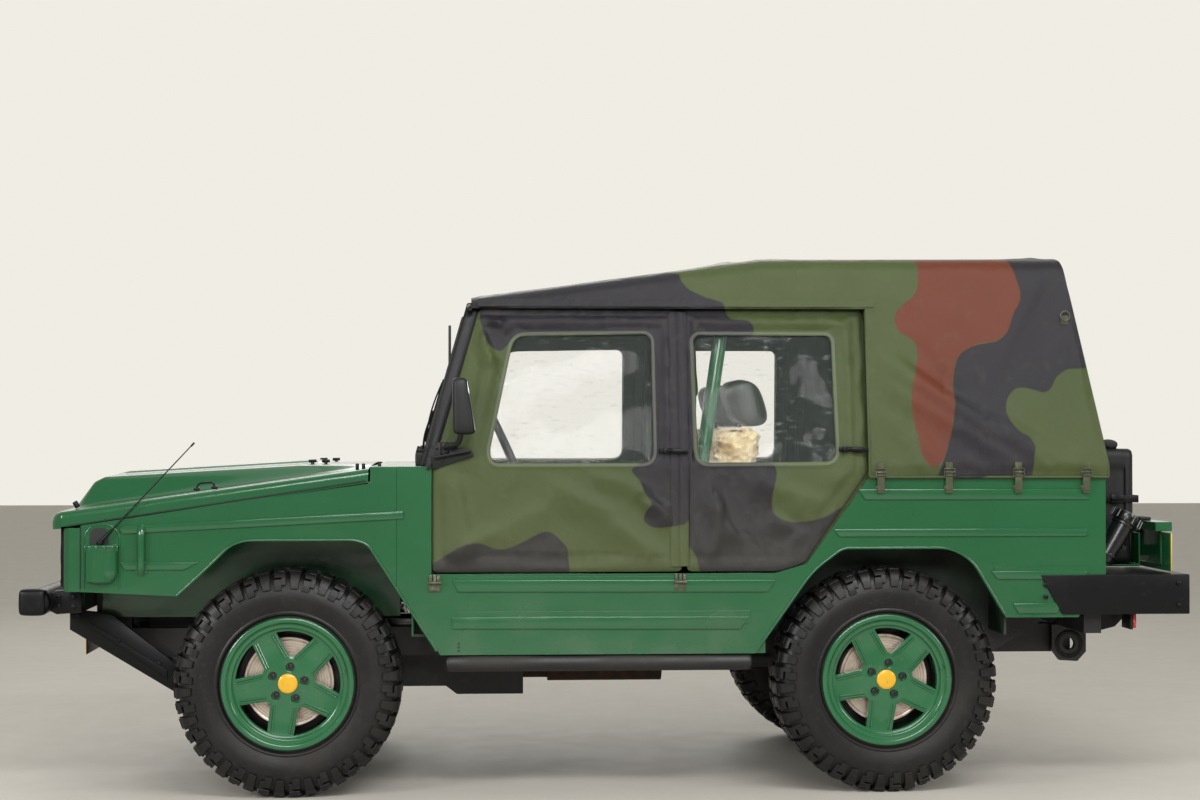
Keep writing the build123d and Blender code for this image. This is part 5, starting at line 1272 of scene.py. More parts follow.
BACK_WINDOW = ring_of([(0.420, 1.235), (0.420, 1.596), (-0.420, 1.596), (-0.420, 1.235)], 0.07)
back = draped("back", 150, 84, back_place)
places = points_of(back)
inner, near = reach_into(places[:, 1], places[:, 2], BACK_WINDOW)
near_edge = np.abs(inner) < 0.006
places[near_edge, 1], places[near_edge, 2] = near[near_edge, 0], near[near_edge, 1]
places[near_edge, 0] = tail_x(places[near_edge, 2]) + 0.002
facing(reshaped(back, places), (-1, 0, 0))
stitched(back, 0.0022, inner > 0.0065)
places = points_of(back)
fitted(back, "canvas-back", canvas_print)
printed(back, places[:, 1], places[:, 2], BACK_BLACK, BACK_BROWN)


def rear_pane_place(u, v):
    y, z = (0.5 - u) * 0.86, 1.224 + v * 0.384
    return tail_x(z) + 0.0075 + 0.003 * np.sin(y * 9) * np.sin(z * 12), y, z


rear_pane = draped("rear pane", 40, 20, rear_pane_place)
changed(rear_pane, "SOLIDIFY", thickness=0.001, offset=0)
rear_window = fitted(eased(rear_pane, 0.0), "back-window", clear_sheet,
                     instead_of=["rear_window"])


def webbing_looks(place):
    rib = place.wave("Z", 180, 0.4)
    worn = place.noise(40, 4).rise(0.5, 0.75)
    return {"Base Color": worn.mix("3f4229", "5b5b40"),
            "Roughness": worn * 0.15 + 0.62, "Normal": rib.bump(0.0008)}


webbing = finish_of("olive webbing", webbing_looks, Sheen_Weight=0.2)
# hems, welts and the drip flap are folded strips of the same canvas, sewn along both edges
strips = []
for side in (1, -1):
    flap = [(0.452, 0.671, 1.651), (0.2, 0.675, 1.653), (-0.4, 0.678, 1.655), (-0.895, 0.679, 1.655)]
    strips.append(piped([(x, side * y, z) for x, y, z in flap], 0.0065, 0.05))
    corner = [(-1.688, 0.757, HEM_Z + 0.004), (-1.688, 0.757, 1.107), (-1.575, 0.674, 1.690),
              (-1.556, 0.652, 1.785), (-1.552, 0.600, 1.812), (-1.550, 0.0, 1.838)]
    strips.append(piped([(x, side * y, z) for x, y, z in corner], 0.0055, 0.04))
    strips.append(piped([(x, side * 0.7665, HEM_Z + 0.003) for x in (-0.868, -1.2, -1.685)], 0.0045))
    strips.append(piped([(-0.8665, side * np.interp(z, [1.107, 1.64], [0.767, 0.686]), z)
                         for z in (1.07, 1.107, 1.36, 1.64)], 0.0045))
    front = [(0.676, -0.038), (0.662, -0.032), (0.58, -0.021), (0.30, -0.002), (0.0, 0.003)]
    strips.append(piped([(0.483, side * y, float(shoulder_z(0.48)) + dz) for y, dz in front], 0.0085, 0.06))
DOORWAY = [[-0.556, -0.652, -0.865, -0.865], [0.744, 0.774, 1.064, 1.640]]  # x and z, rear edge
DOORWAY_SHARE = [0, 0.10, 0.47, 1]
for side in (1, -1):
    def drip(u, v):
        x, z = 0.455 - 1.352 * u, 1.6455 + 0.026 * v
        lean = 0.766 - (z - 1.107) / (np.maximum(shoulder_z(x) - 0.038, 1.641) - 1.107) * 0.091
        return x, side * (lean + 0.0015 + 0.0055 * np.cos(v * math.pi / 2) + 0.0008 * np.sin(x * 70)), z

    def draught(u, v):
        x, z = (np.interp(v, DOORWAY_SHARE, line) for line in DOORWAY)
        slope = np.interp(v, [0.10, 0.15, 0.50, 0.55], [1.268, 0.634, 0.634, 0.0])
        step = np.interp(u, [0, 0.45, 0.6, 1], [0.024, -0.003, -0.005, -0.016])
        lip = np.interp(z, [1.068, 1.080], [0.0130, 0.0045])
        depth = 0.0255 + (lip - 0.0255) * np.clip((u - 0.45) / 0.15, 0, 1)
        return x + step * np.cos(slope), side * (door_y(z) - depth), z + step * np.sin(slope)
    for name, place in (("drip", drip), ("draught", draught)):
        band = draped(name, 120 if name == "drip" else 20, 5 if name == "drip" else 90, place)
        strips.append(lined(facing(band, (0, side, 0)), 0.002))
strips.append(piped([(-1.690, 0.75, HEM_Z + 0.002), (-1.690, -0.75, HEM_Z + 0.002)], 0.0045))
rim = [(float(tail_x(z)) - 0.001, y, z) for y, z in BACK_WINDOW]
strips.append(piped(rim, 0.0055, closed=True))
hems = fitted(joined(strips), "canvas-hems", canvas_print)
places = points_of(hems)
printed(hems, places[:, 0], places[:, 2], ROOF_BLACK[:2], ROOF_BROWN[:1])

STRAP_X, STRAP_Y = (-0.904, -1.137, -1.375, -1.609), 0.771
straps = []
for side in (1, -1):
    for x in STRAP_X:
        straps.append(placed_box((x, side * STRAP_Y, 1.066), (0.024, 0.003, 0.104), 0.001))
        straps.append(placed_box((x, side * (STRAP_Y + 0.003), 1.052), (0.024, 0.003, 0.060), 0.001))
straps.append(placed_box((-1.554, 0.7035, 1.604), (0.026, 0.006, 0.030), 0.002))
for y in (0.55, 0.18, -0.18, -0.55):
    straps.append(placed_box((-1.694, y, 1.060), (0.003, 0.024, 0.104), 0.001))
straps = fitted(joined(straps), "hold-down-straps", webbing)
buckles = []
for side in (1, -1):
    for x in STRAP_X:
        frame_points = [(x - 0.018, side * 0.778, 1.096), (x + 0.018, side * 0.778, 1.096),
                        (x + 0.018, side * 0.778, 1.072), (x - 0.018, side * 0.778, 1.072)]
        buckles.append(piped(frame_points, 0.0022, closed=True, sides=2))
        buckles.append(placed_rod((x - 0.016, side * 0.779, 1.084), (x + 0.016, side * 0.779, 1.084),
                                  0.002, sides=8))
        buckles.append(placed_box((x, side * 0.759, 1.030), (0.030, 0.008, 0.016), 0.002))
buckles.append(piped([(-1.554 + 0.016 * math.cos(a), 0.7105, 1.618 + 0.016 * math.sin(a))
                      for a in (k * math.pi / 12 for k in range(24))], 0.0022, closed=True, sides=2))
buckles = fitted(joined(buckles), "strap-buckles", olive_steel)

# ---- Mirrors and windscreen ----------------------------------------
# Moulded black mirror heads on cranked arms, each bolted to a folded bracket on the door. The
# screen is laminated glass in a steel frame that folds, with a rubber seal and two wipers.
def moulded_looks(place):
    grain = place.noise(500, 2)
    return {"Base Color": place.noise(12, 3).mix("0c0d0e", "151617"),
            "Roughness": grain * 0.12 + place.noise(5, 2) * 0.1 + 0.34, "Normal": grain.bump(0.0002)}


moulded_black = finish_of("moulded black", moulded_looks, Specular_IOR_Level=0.36)


def smooth_block(middle, size, pinch, cuts=3, crown=0.0):
    """A rounded, slightly swollen block: a divided box drawn in by pinch and subdivided."""
    piece = placed_box(middle, size)
    changed(piece, "BEVEL", width=min(size) * pinch, segments=2)
    changed(piece, "SUBSURF", levels=cuts, render_levels=cuts)
    if crown:
        for vertex in piece.data.vertices:
            off = vertex.co - Vector(middle)
            spread = (1 - (2 * off.x / size[0]) ** 2) * (1 - (2 * off.y / size[1]) ** 2)
            vertex.co.z += crown * max(spread, 0) * (1 if off.z > 0 else -0.3)
    return eased(piece, 0.0)


def tapered(piece):
    """Narrows the mirror head towards its top, its front face staying upright."""
    for vertex in piece.data.vertices:
        share = 0.5 - (vertex.co.z - 1.305) / 0.190
        vertex.co.x = 0.5415 - (0.5415 - vertex.co.x) * (0.60 + 0.40 * share)
    return piece


head = tapered(smooth_block((0.500, 0.8475, 1.305), (0.083, 0.118, 0.190), 0.24, 2))
cut_by(head, [tapered(placed_box((0.4585, 0.8475, 1.305), (0.012, 0.098, 0.164), 0.004))])
bracket = flat_plate([(0.6075, 1.0965), (0.6075, 1.152), (0.590, 1.186), (0.560, 1.176), (0.484, 1.160),
                      (0.470, 1.146), (0.470, 1.138), (0.600, 1.098)], 0.757, 0.7635)
shelf = placed_box((0.540, 0.775, 1.146), (0.130, 0.036, 0.007), 0.002)
shelf.data.transform(Matrix.Translation((0.54, 0, 1.146)) @ Matrix.Rotation(0.18, 4, "Y")
                     @ Matrix.Translation((-0.54, 0, -1.146)))
arm = piped([(0.566, 0.762, 1.150), (0.566, 0.785, 1.172), (0.520, 0.815, 1.180), (0.512, 0.835, 1.212),
             (0.508, 0.840, 1.245)], 0.0095, 0.03)
knob = placed_rod((0.566, 0.770, 1.140), (0.566, 0.770, 1.186), 0.0145, 0.004, 20)
bolts = [placed_rod((x, 0.763, z), (x, 0.769, z), 0.006, 0.0015, 6) for x, z in
         ((0.584, 1.116), (0.594, 1.166), (0.500, 1.146), (0.566, 1.124))]
mirror = joined([eased(bracket, 0.001), head, shelf, arm, knob] + bolts)
glass = tapered(placed_box((0.4625, 0.8475, 1.305), (0.003, 0.094, 0.160), 0.001))


def silver_looks(place):
    return {"Base Color": place.noise(8, 2).mix("b9c0c2", "c8cdce"),
            "Roughness": place.noise(40, 4).rise(0.6, 0.8) * 0.2 + 0.03,
            "Metallic": 1 - place.noise(60, 3).rise(0.72, 0.8) * 0.3}


silvered = finish_of("silvered glass", silver_looks)
for side in ("left", "right"):
    for model, name, finish in ((mirror, "mirror", moulded_black), (glass, "mirror-glass", silvered)):
        fitted(copied(model, side), f"{name}-{side}", finish, f"door_front_{side}",
               [f"mirror_{side}"] if name == "mirror" else [])
for model in (mirror, glass):
    bpy.data.objects.remove(model)
foot = flat_plate([(0.626, 1.092), (0.627, 1.110), (0.6112, 1.124), (0.6112, 1.096)], 0.7545, 0.7635)
fitted(to_both_sides(eased(foot, 0.001)), "mirror-feet", moulded_black)


def screen_x(z):
    return np.interp(z, [1.104, 1.660], [0.648, 0.492])


def screen_ring(inset):
    """Corners of the windscreen's frame or glass, drawn in from its outside by inset."""
    low, top = 1.104 + inset, 1.660 - inset
    half = [np.interp(z, [1.104, 1.660], [0.717, 0.630]) - inset for z in (low, top)]
    return [(screen_x(low), half[0], low), (screen_x(top), half[1], top), (screen_x(top), -half[1], top),
            (screen_x(low), -half[0], low)]


fitted(eased(pressed("windscreen_frame"), 0.005, 3), "windscreen-frame", satin_black,
       instead_of=["windscreen_frame"])


def post_seal(u, v):
    """A rubber lip from the windscreen's post to just behind the front door's edge."""
    z = 1.098 + 0.548 * v
    turned_in = np.clip((u - 0.45) / 0.2, 0, 1)
    depth = 0.0255 + (0.0100 - (z - 1.104) * 0.0144) * turned_in
    return 0.603 - (z - BELT_Z) * 0.288 - 0.024 + 0.052 * u, door_y(z) - depth, z


lip = facing(draped("post-seal", 8, 30, post_seal), (0, 1, 0))
fitted(to_both_sides(lined(lip, 0.002)), "post-seals", satin_black)


def seal_looks(place):
    return {"Base Color": place.noise(20, 3).mix("141415", "232324"),
            "Roughness": place.noise(60, 3) * 0.2 + 0.5, "Normal": place.noise(300, 2).bump(0.0002)}


def screen_glass_looks(place):
    film = place.noise(3, 3).rise(0.4, 0.8)
    return {"Base Color": film.mix("bfd2c8", "cfdad2"), "Alpha": film * 0.06 + 0.14,
            "Roughness": film * 0.08 + 0.02}


seal_rubber = finish_of("seal rubber", seal_looks)
screen_glass = finish_of("laminated glass", screen_glass_looks, Specular_IOR_Level=0.8)
seal = []
for offset in (-0.001, -0.030):
    loop = [Vector(p) + Vector((offset, 0, 0)) for p in screen_ring(0.049)]
    seal.append(piped(rounded_loop(loop, 0.03), 0.0068, closed=True, sides=3))
seal.append(placed_box((float(screen_x(1.38)) - 0.014, 0, 1.38), (0.010, 0.010, 0.470), 0.002))
fitted(joined(seal), "screen-seal", seal_rubber)
coated(nodes["windscreen_glass"], screen_glass)

arms = []
for foot_y in (-0.090, 0.430):
    foot_z, tip_z = 1.158, 1.400
    foot = Vector((float(screen_x(foot_z)) + 0.012, foot_y, foot_z))
    tip = Vector((float(screen_x(tip_z)) + 0.008, foot_y + 0.115, tip_z))
    middle = foot.lerp(tip, 0.55)
    run = [foot, foot.lerp(tip, 0.2) + Vector((0.010, 0, 0)), middle + Vector((0.006, 0, 0)), middle]
    arms.append(piped(run, 0.0042, 0.03))
    heel = foot.lerp(tip, 0.12)
    arms.append(piped([heel, tip], 0.0035))
    arms.append(piped([heel.lerp(tip, s) + Vector((h, 0, 0)) for s, h in
                       ((0.05, 0.002), (0.3, 0.009), (0.5, 0.011), (0.7, 0.009), (0.95, 0.002))],
                      0.0028, 0.02))
    arms.append(smooth_block((0.654, foot_y, 1.126), (0.038, 0.040, 0.052), 0.2, 2))
    arms.append(placed_rod((0.640, foot_y, foot_z - 0.006), (0.668, foot_y, foot_z + 0.002),
                           0.013, 0.003, 20))
fitted(joined(arms), "screen-wipers", moulded_black, instead_of=["wipers"])

# ---- Front end -----------------------------------------------------
# A black grille with pressed slats between round lamps, a bumper of thick steel tube on box
# brackets, and a folded skid plate under the nose. The plate is bare.
LAMP_Y, LAMP_Z = 0.520, 0.806
FORWARD = Matrix.Rotation(-math.pi / 2, 4, "Z")
grille = [eased(pressed("grille"), 0.003)]
for y in (-0.625, 0.625):
    for z in (0.716, 0.902):
        grille.append(placed_rod((1.852, y, z), (1.857, y, z), 0.0065, 0.0015, 6))
for z in (0.7155, 0.9025):
    for y in (-0.36, -0.12, 0.12, 0.36):
        grille.append(placed_rod((1.852, y, z), (1.8565, y, z), 0.005, 0.0015, 6))
for side in (1, -1):
    rings = spun([(0, 87.5), (0, 93), (5, 95.5), (9, 94), (10, 90), (6, 87.5)], 64)
    rings.data.transform(Matrix.Translation((1.850, side * LAMP_Y, LAMP_Z)) @ FORWARD)
    grille.append(rings)
    for corner in (0.8, 2.4, 3.9, 5.5):
        y, z = side * LAMP_Y + 0.101 * math.cos(corner), LAMP_Z + 0.101 * math.sin(corner)
        grille.append(placed_rod((1.852, y, z), (1.858, y, z), 0.004, 0.001, 10))
fitted(joined(grille), "grille-panel", satin_black, instead_of=["grille"])

bowls, lenses = [], []
for side in (1, -1):
    bowl = spun([(-30, 0.001), (-28, 30), (-18, 62), (0, 82), (4, 86), (6, 84), (2, 80), (-15, 60), (-24, 30),
                 (-26, 0.001)], 72)
    bulb = spun([(-26, 0.001), (-26, 9), (-12, 9), (-4, 6), (0, 0.001)], 24)
    lens = spun([(8, 0.001), (7.6, 30), (6.2, 55), (3.0, 74), (-2, 83), (-5, 83), (-0.6, 73), (2.8, 54),
                 (4.2, 30), (4.6, 0.001)], 72)
    for vertex in lens.data.vertices:
        if vertex.co.y < 0.0045 and vertex.co.xz.length < 0.072:
            vertex.co.y += 0.0008 * math.sin(vertex.co.x * 420)
    for model, group in ((bowl, bowls), (bulb, bowls), (lens, lenses)):
        model.data.transform(Matrix.Translation((1.838, side * LAMP_Y, LAMP_Z)) @ FORWARD)
        group.append(eased(model, 0.0))


def chrome_looks(place):
    return {"Base Color": place.noise(9, 2).mix("c9cccb", "dadcd9"),
            "Roughness": place.noise(35, 3) * 0.12 + 0.08,
            "Metallic": 1 - place.noise(50, 3).rise(0.7, 0.85) * 0.4}


def lens_looks(place):
    flute = place.wave("Y", 22, 0.3)
    return {"Base Color": place.noise(6, 2).mix("e8ebe8", "f4f5f2"),
            "Alpha": flute * 0.14 + 0.20, "Roughness": place.noise(30, 3) * 0.08 + 0.03,
            "Normal": flute.bump(0.0012)}


chrome = finish_of("lamp bowl", chrome_looks)
lamp_glass = finish_of("fluted lamp glass", lens_looks, Specular_IOR_Level=0.8)
fitted(joined(bowls), "headlamp-bowls", chrome, instead_of=["headlamps"])
fitted(joined(lenses), "headlamp-lenses", lamp_glass)

half_tube = [(-690, 0.001), (-690, 30), (-686, 38), (-678, 43.5), (-668, 45), (-655.5, 45), (-655, 43),
             (-651, 43), (-650.5, 45)]
tube = spun(half_tube + [(-y, radius) for y, radius in reversed(half_tube)], 64)
tube.data.transform(Matrix.Translation((1.923, 0, 0.650)))
bumper = [eased(tube, 0.0)]
for side in (1, -1):
    bumper.append(smooth_block((1.938, side * 0.672, 0.651), (0.094, 0.056, 0.092), 0.30, 2))
    box = flat_plate([(1.786, 0.612), (1.786, 0.680), (1.826, 0.688), (1.880, 0.684), (1.898, 0.674),
                      (1.900, 0.622), (1.870, 0.606)], 0.560, 0.625)
    box.data.transform(Matrix.Scale(side, 4, (0, 1, 0)))
    bumper.append(eased(turned_out(box), 0.004, 2))
    for x, z in ((1.812, 0.632), (1.812, 0.664), (1.862, 0.634), (1.862, 0.666)):
        bumper.append(placed_rod((x, side * 0.624, z), (x, side * 0.631, z), 0.0085, 0.002, 6))
bumper.append(placed_box((1.806, 0, 0.645), (0.036, 1.200, 0.070), 0.004))
fitted(joined(bumper), "front-bumper", satin_black, instead_of=["front_bumper"])

skid = [eased(pressed("skid_plate"), 0.004)]
for side in (1, -1):
    skid.append(rib([(1.80, 0.560), (1.79, 0.535), (1.53, 0.360), (1.53, 0.392)], 0.003, 0.390))
    skid[-1].data.transform(Matrix.Scale(side, 4, (0, 1, 0)))
    for x, z in ((1.56, 0.415), (1.70, 0.495), (1.84, 0.585)):
        skid.append(placed_rod((x, side * 0.389, z), (x, side * 0.396, z), 0.008, 0.002, 6))
fitted(joined(skid), "skid-guard", satin_black, instead_of=["skid_plate"])


def plate_looks(place):
    worn = place.noise(45, 5).rise(0.6, 0.78)
    return {"Base Color": worn.mix("e0b420", "a5862a"),
            "Roughness": worn * 0.3 + 0.32, "Normal": place.noise(150, 3).bump(0.0002)}


plate_yellow = finish_of("yellow plate enamel", plate_looks)
fitted(placed_box((1.8355, 0, 0.473), (0.0025, 0.516, 0.078), 0.001), "front-plate", plate_yellow)

# ---- Tail ----------------------------------------------------------
# Two steel corner bumpers with square lamps hung under them, a moulded fuel can strapped in a
# tray, the filler neck with its cap, and a plate, left bare, on a swinging arm.
rear_bumpers = [eased(pressed("rear_bumpers"), 0.004, 3)]
for side in (1, -1):
    for x, z in ((-1.470, 0.660), (-1.470, 0.700), (-1.930, 0.630), (-1.930, 0.705)):
        rear_bumpers.append(placed_rod((x, side * 0.761, z), (x, side * 0.768, z), 0.009, 0.002, 6))
    for y in (0.42, 0.68):
        rear_bumpers.append(placed_rod((-1.966, side * y, 0.667), (-1.9735, side * y, 0.667),
                                       0.011, 0.003, 6))
    rear_bumpers.append(piped([(-1.663 + 0.043 * math.cos(a), side * 0.345, 0.461 + 0.043 * math.sin(a))
                               for a in (k * math.pi / 16 for k in range(32))], 0.0155, closed=True))
fitted(joined(rear_bumpers), "corner-bumpers", satin_black, instead_of=["rear_bumpers"])


def red_lens_looks(place):
    prisms = place.wave("DIAGONAL", 95, 0.0)
    return {"Base Color": place.noise(25, 3).mix("b3160f", "c9231a"),
            "Roughness": place.noise(60, 3) * 0.1 + 0.12, "Normal": prisms.bump(0.0006)}


lamp_red = finish_of("red lens", red_lens_looks, Coat_Weight=0.6, Emission_Strength=0.0)
red_lenses, housings = [], []
for side in (1, -1):
    red_lenses.append(placed_box((-1.7965, side * 0.650, 0.571), (0.014, 0.094, 0.050), 0.005, 3))
    housings.append(placed_box((-1.7855, side * 0.650, 0.571), (0.010, 0.100, 0.058), 0.002))
    for y in (0.612, 0.688):
        housings.append(placed_rod((-1.800, side * y, 0.571), (-1.8045, side * y, 0.571), 0.0032, 0.001, 10))
fitted(joined(red_lenses), "rear-lamp-lenses", lamp_red, instead_of=["rear_lamps"])
fitted(joined(housings), "rear-lamp-housings", moulded_black)


def can_place(u, v):
    """u runs round the can, v from the middle of its foot up its wall to the middle of its top."""
    turn = 2 * math.pi * u
    stations = [0, 0.10, 0.14, 0.17, 0.83, 0.86, 0.90, 1.0]
    spread = np.interp(v, stations, [0, 0.90, 0.97, 1, 1, 0.97, 0.88, 0])
    height = np.interp(v, stations, [0.760, 0.757, 0.762, 0.776, 1.138, 1.154, 1.161, 1.162])
    bow = [np.abs(wave) ** 0.32 * np.sign(wave) for wave in (np.cos(turn), np.sin(turn))]
    x, y = 0.0825 * bow[0] * spread, 0.1725 * bow[1] * spread
    wall = soft_step(v, 0.22, 0.27) * (1 - soft_step(v, 0.73, 0.78))
    narrow = soft_step(np.abs(bow[1]), 0.96, 0.99)
    flutes = 0.008 * soft_step(np.cos(x / 0.034 * 2 * math.pi), -0.2, 0.5) * wall * narrow
    panel = 0.004 * wall * (1 - narrow) * soft_step(np.cos(y / 0.115 * 2 * math.pi), -0.3, 0.3)
    return -1.7795 + x - np.sign(x) * panel, 0.3425 + y - np.sign(y) * flutes, height


can = draped("can", 220, 90, can_place)
only(can)
bpy.ops.object.mode_set(mode="EDIT")
bpy.ops.mesh.select_all(action="SELECT")
bpy.ops.mesh.remove_doubles(threshold=0.00005)
can_parts = [eased(faced_out(), 0.0)]
for x in (-1.810, -1.7795, -1.749):
    can_parts.append(piped([(x, 0.250, 1.152), (x, 0.250, 1.183), (x, 0.385, 1.183), (x, 0.385, 1.152)],
                           0.0075, 0.022))
can_parts.append(placed_rod((-1.780, 0.455, 1.150), (-1.780, 0.468, 1.176), 0.026, 0.003, 32))
can_parts.append(placed_rod((-1.780, 0.467, 1.174), (-1.780, 0.4715, 1.183), 0.0285, 0.003, 20))
fitted(joined(can_parts), "fuel-can", moulded_black, instead_of=["jerry_can"])
can_strap = []
band = [(-1.690, 0.520), (-1.862, 0.520), (-1.8665, 0.512), (-1.8665, 0.172), (-1.862, 0.165),
        (-1.690, 0.165)]
for (x0, y0), (x1, y1) in zip(band, band[1:]):
    middle = ((x0 + x1) / 2, (y0 + y1) / 2, 0.985)
    can_strap.append(placed_box(middle, (abs(x1 - x0) + 0.003, abs(y1 - y0) + 0.003, 0.026), 0.001))
can_strap.append(placed_box((-1.790, 0.5235, 0.985), (0.044, 0.009, 0.034), 0.003))
can_strap.append(piped([(-1.812, 0.529, 0.985), (-1.768, 0.531, 0.985)], 0.004))
fitted(joined(can_strap), "can-clamp", satin_black)


def gloss_looks(place):
    scuff = place.noise(30, 5).rise(0.6, 0.8)
    return {"Base Color": scuff.mix("0e0f10", "242424"), "Roughness": scuff * 0.25 + 0.24,
            "Normal": place.noise(180, 2).bump(0.0002)}


gloss_black = finish_of("gloss black", gloss_looks, Coat_Weight=0.1, Coat_Roughness=0.1)
foot, mouth = Vector((-1.698, 0.655, 0.778)), Vector((-1.792, 0.655, 0.940))
neck = [placed_rod(foot, foot.lerp(mouth, 0.80), 0.037, 0, 48),
        placed_rod(foot.lerp(mouth, 0.10), foot.lerp(mouth, 0.16), 0.041, 0.002, 48),
        placed_rod(foot.lerp(mouth, 0.74), foot.lerp(mouth, 0.79), 0.0415, 0.002, 48),
        placed_rod(foot.lerp(mouth, 0.80), foot.lerp(mouth, 0.985), 0.043, 0.004, 48, 0.041),
        placed_rod(foot.lerp(mouth, 0.97), mouth, 0.034, 0.003, 48)]
for k in range(12):
    axis = (mouth - foot).normalized()
    out = axis.orthogonal()
    out.rotate(Matrix.Rotation(k * math.pi / 6, 3, axis))
    neck.append(placed_rod(foot.lerp(mouth, 0.815) + out * 0.0425, foot.lerp(mouth, 0.965) + out * 0.0412,
                           0.003, 0, 8))
flange = flat_plate([(0.612, 0.747), (0.698, 0.747), (0.698, 0.848), (0.612, 0.848)], -1.6865, -1.6795, "x")
neck.append(eased(flange, 0.003))
for y, z in ((0.622, 0.757), (0.688, 0.757), (0.622, 0.838), (0.688, 0.838)):
    neck.append(placed_rod((-1.686, y, z), (-1.691, y, z), 0.005, 0.0012, 6))
fitted(joined(neck), "fuel-filler", gloss_black, instead_of=["filler_neck"])
fitted(placed_box((-1.9295, 0.430, 0.806), (0.003, 0.520, 0.130), 0.001), "rear-plate", plate_yellow)
fitted(placed_box((-1.905, 0.430, 0.914), (0.040, 0.110, 0.012), 0.004), "plate-lamp", moulded_black)
gate_parts = [placed_rod((-1.687, y, 1.060), (-1.687, y, 1.035), 0.010, 0.002, 16) for y in (0.09, -0.63)]
for y in (0.02, -0.27, -0.56):
    gate_parts.append(placed_rod((-1.680, y - 0.035, 0.786), (-1.680, y + 0.035, 0.786), 0.0085, 0.002, 16))
    gate_parts.append(placed_box((-1.6835, y, 0.806), (0.006, 0.050, 0.032), 0.002))
gate_parts.append(placed_box((-1.6865, -0.270, 0.990), (0.012, 0.120, 0.050), 0.005))
pull = [(-1.690, -0.320, 0.990), (-1.702, -0.310, 0.990), (-1.702, -0.230, 0.990), (-1.690, -0.220, 0.990)]
gate_parts.append(piped(pull, 0.006, 0.01))
fitted(joined(gate_parts), "tailgate-fittings", satin_black, "tailgate")
gate_ribs = [flat_plate([(-0.60, z), (0.06, z), (0.04, z + 0.05), (-0.58, z + 0.05)], -1.6855, -1.678, "x")
             for z in (0.84, 0.92)]
fitted(joined([eased(plate, 0.003, 3) for plate in gate_ribs]),
       "tailgate-ribs", enamel, "tailgate")

# ---- Cabin ---------------------------------------------------------
# Two seats and a bench, foam under grained olive vinyl with piped seams, sheepskins pulled over
# the front seats' backs, a moulded dash, and a roll hoop and bow of green steel tube.
coated(nodes["roll_hoop"], enamel)


def vinyl_looks(place):
    grain = place.node("TexVoronoi", {"feature": "DISTANCE_TO_EDGE"}, {"Vector": place, "Scale": 420})
    worn = place.noise(6, 4).rise(0.45, 0.75)
    return {"Base Color": worn.mix("1e241a", "2b3124"),
            "Roughness": worn * 0.12 + 0.40, "Normal": grain.bump(0.0004)}


vinyl = finish_of("grained olive vinyl", vinyl_looks, Sheen_Weight=0.1)


def cushion(middle, size, lean=0.0, crown=0.018, channels=0, corner=0.22):
    """A foam pad in a sewn cover: crowned faces, sides drawn in between the corners, sewn channels."""
    piece = placed_box(middle, size)
    changed(piece, "BEVEL", width=min(size) * corner, segments=3)
    changed(piece, "SUBSURF", levels=3, render_levels=3)
    thin = size.index(min(size))
    long = [k for k in range(3) if k != thin]
    for vertex in piece.data.vertices:
        off = [(vertex.co[k] - middle[k]) / size[k] * 2 for k in range(3)]
        swell = (1 - off[long[0]] ** 2) * (1 - off[long[1]] ** 2)
        if channels:
            seams = abs(math.sin(off[1] * math.pi * channels / 2 + math.pi * (channels % 2) / 2))
            swell *= 0.72 + 0.28 * min(seams * 2.2, 1)
        push = crown * max(swell, 0) * (1 if off[thin] > 0 else -0.35)
        vertex.co[thin] += push * min(abs(off[thin]) * 1.6, 1)
        for k in long:
            other = long[1] if k == long[0] else long[0]
            vertex.co[k] -= 0.010 * (1 - off[other] ** 2) * (1 if off[k] > 0 else -1) * abs(off[k]) ** 3
        vertex.co.x += (vertex.co.z - middle[2]) * lean
    return piece


def welt(middle, size, axis, lean=0.0, radius=0.0045):
    """The piping sewn round a cushion's edge, in the plane across one axis."""
    a, b = [k for k in range(3) if k != axis]
    corners = []
    for i, j in ((1, 1), (-1, 1), (-1, -1), (1, -1)):
        point = list(middle)
        point[a] += i * (size[a] / 2 - 0.004)
        point[b] += j * (size[b] / 2 - 0.004)
        point[0] += (point[2] - middle[2]) * lean
        corners.append(Vector(point))
    return piped(rounded_loop(corners, 0.05), radius, closed=True, sides=3)


trims = []
for side, name in ((1, "left"), (-1, "right")):
    base = cushion((-0.172, side * 0.370, 0.868), (0.460, 0.450, 0.092), crown=0.020, channels=3)
    fitted(base, f"seat-cushion-{name}", vinyl)
    back = cushion((-0.424, side * 0.356, 1.072), (0.098, 0.410, 0.320), lean=-0.20, crown=0.016, channels=3)
    fitted(back, f"seat-back-{name}", vinyl)
    rest = cushion((-0.490, side * 0.370, 1.322), (0.128, 0.256, 0.182), lean=0.30, crown=0.010, corner=0.44)
    fitted(rest, f"headrest-{name}", vinyl)
    trims.append(welt((-0.172, side * 0.370, 0.900), (0.462, 0.452, 0.02), 2))
    trims.append(welt((-0.455, side * 0.370, 1.322), (0.02, 0.222, 0.150), 0, 0.30, 0.004))
    trims.append(welt((-0.525, side * 0.370, 1.322), (0.02, 0.222, 0.150), 0, 0.30, 0.004))
bench = cushion((-1.154, 0, 0.848), (0.480, 0.968, 0.100), crown=0.018, channels=5)
fitted(bench, "bench-cushion", vinyl)
bench_back = cushion((-1.408, 0, 1.035), (0.080, 0.968, 0.290), lean=-0.16, crown=0.014, channels=5)
fitted(bench_back, "bench-back", vinyl)
trims.append(welt((-1.154, 0, 0.884), (0.482, 0.970, 0.02), 2))
fitted(joined(trims), "seat-piping", vinyl)

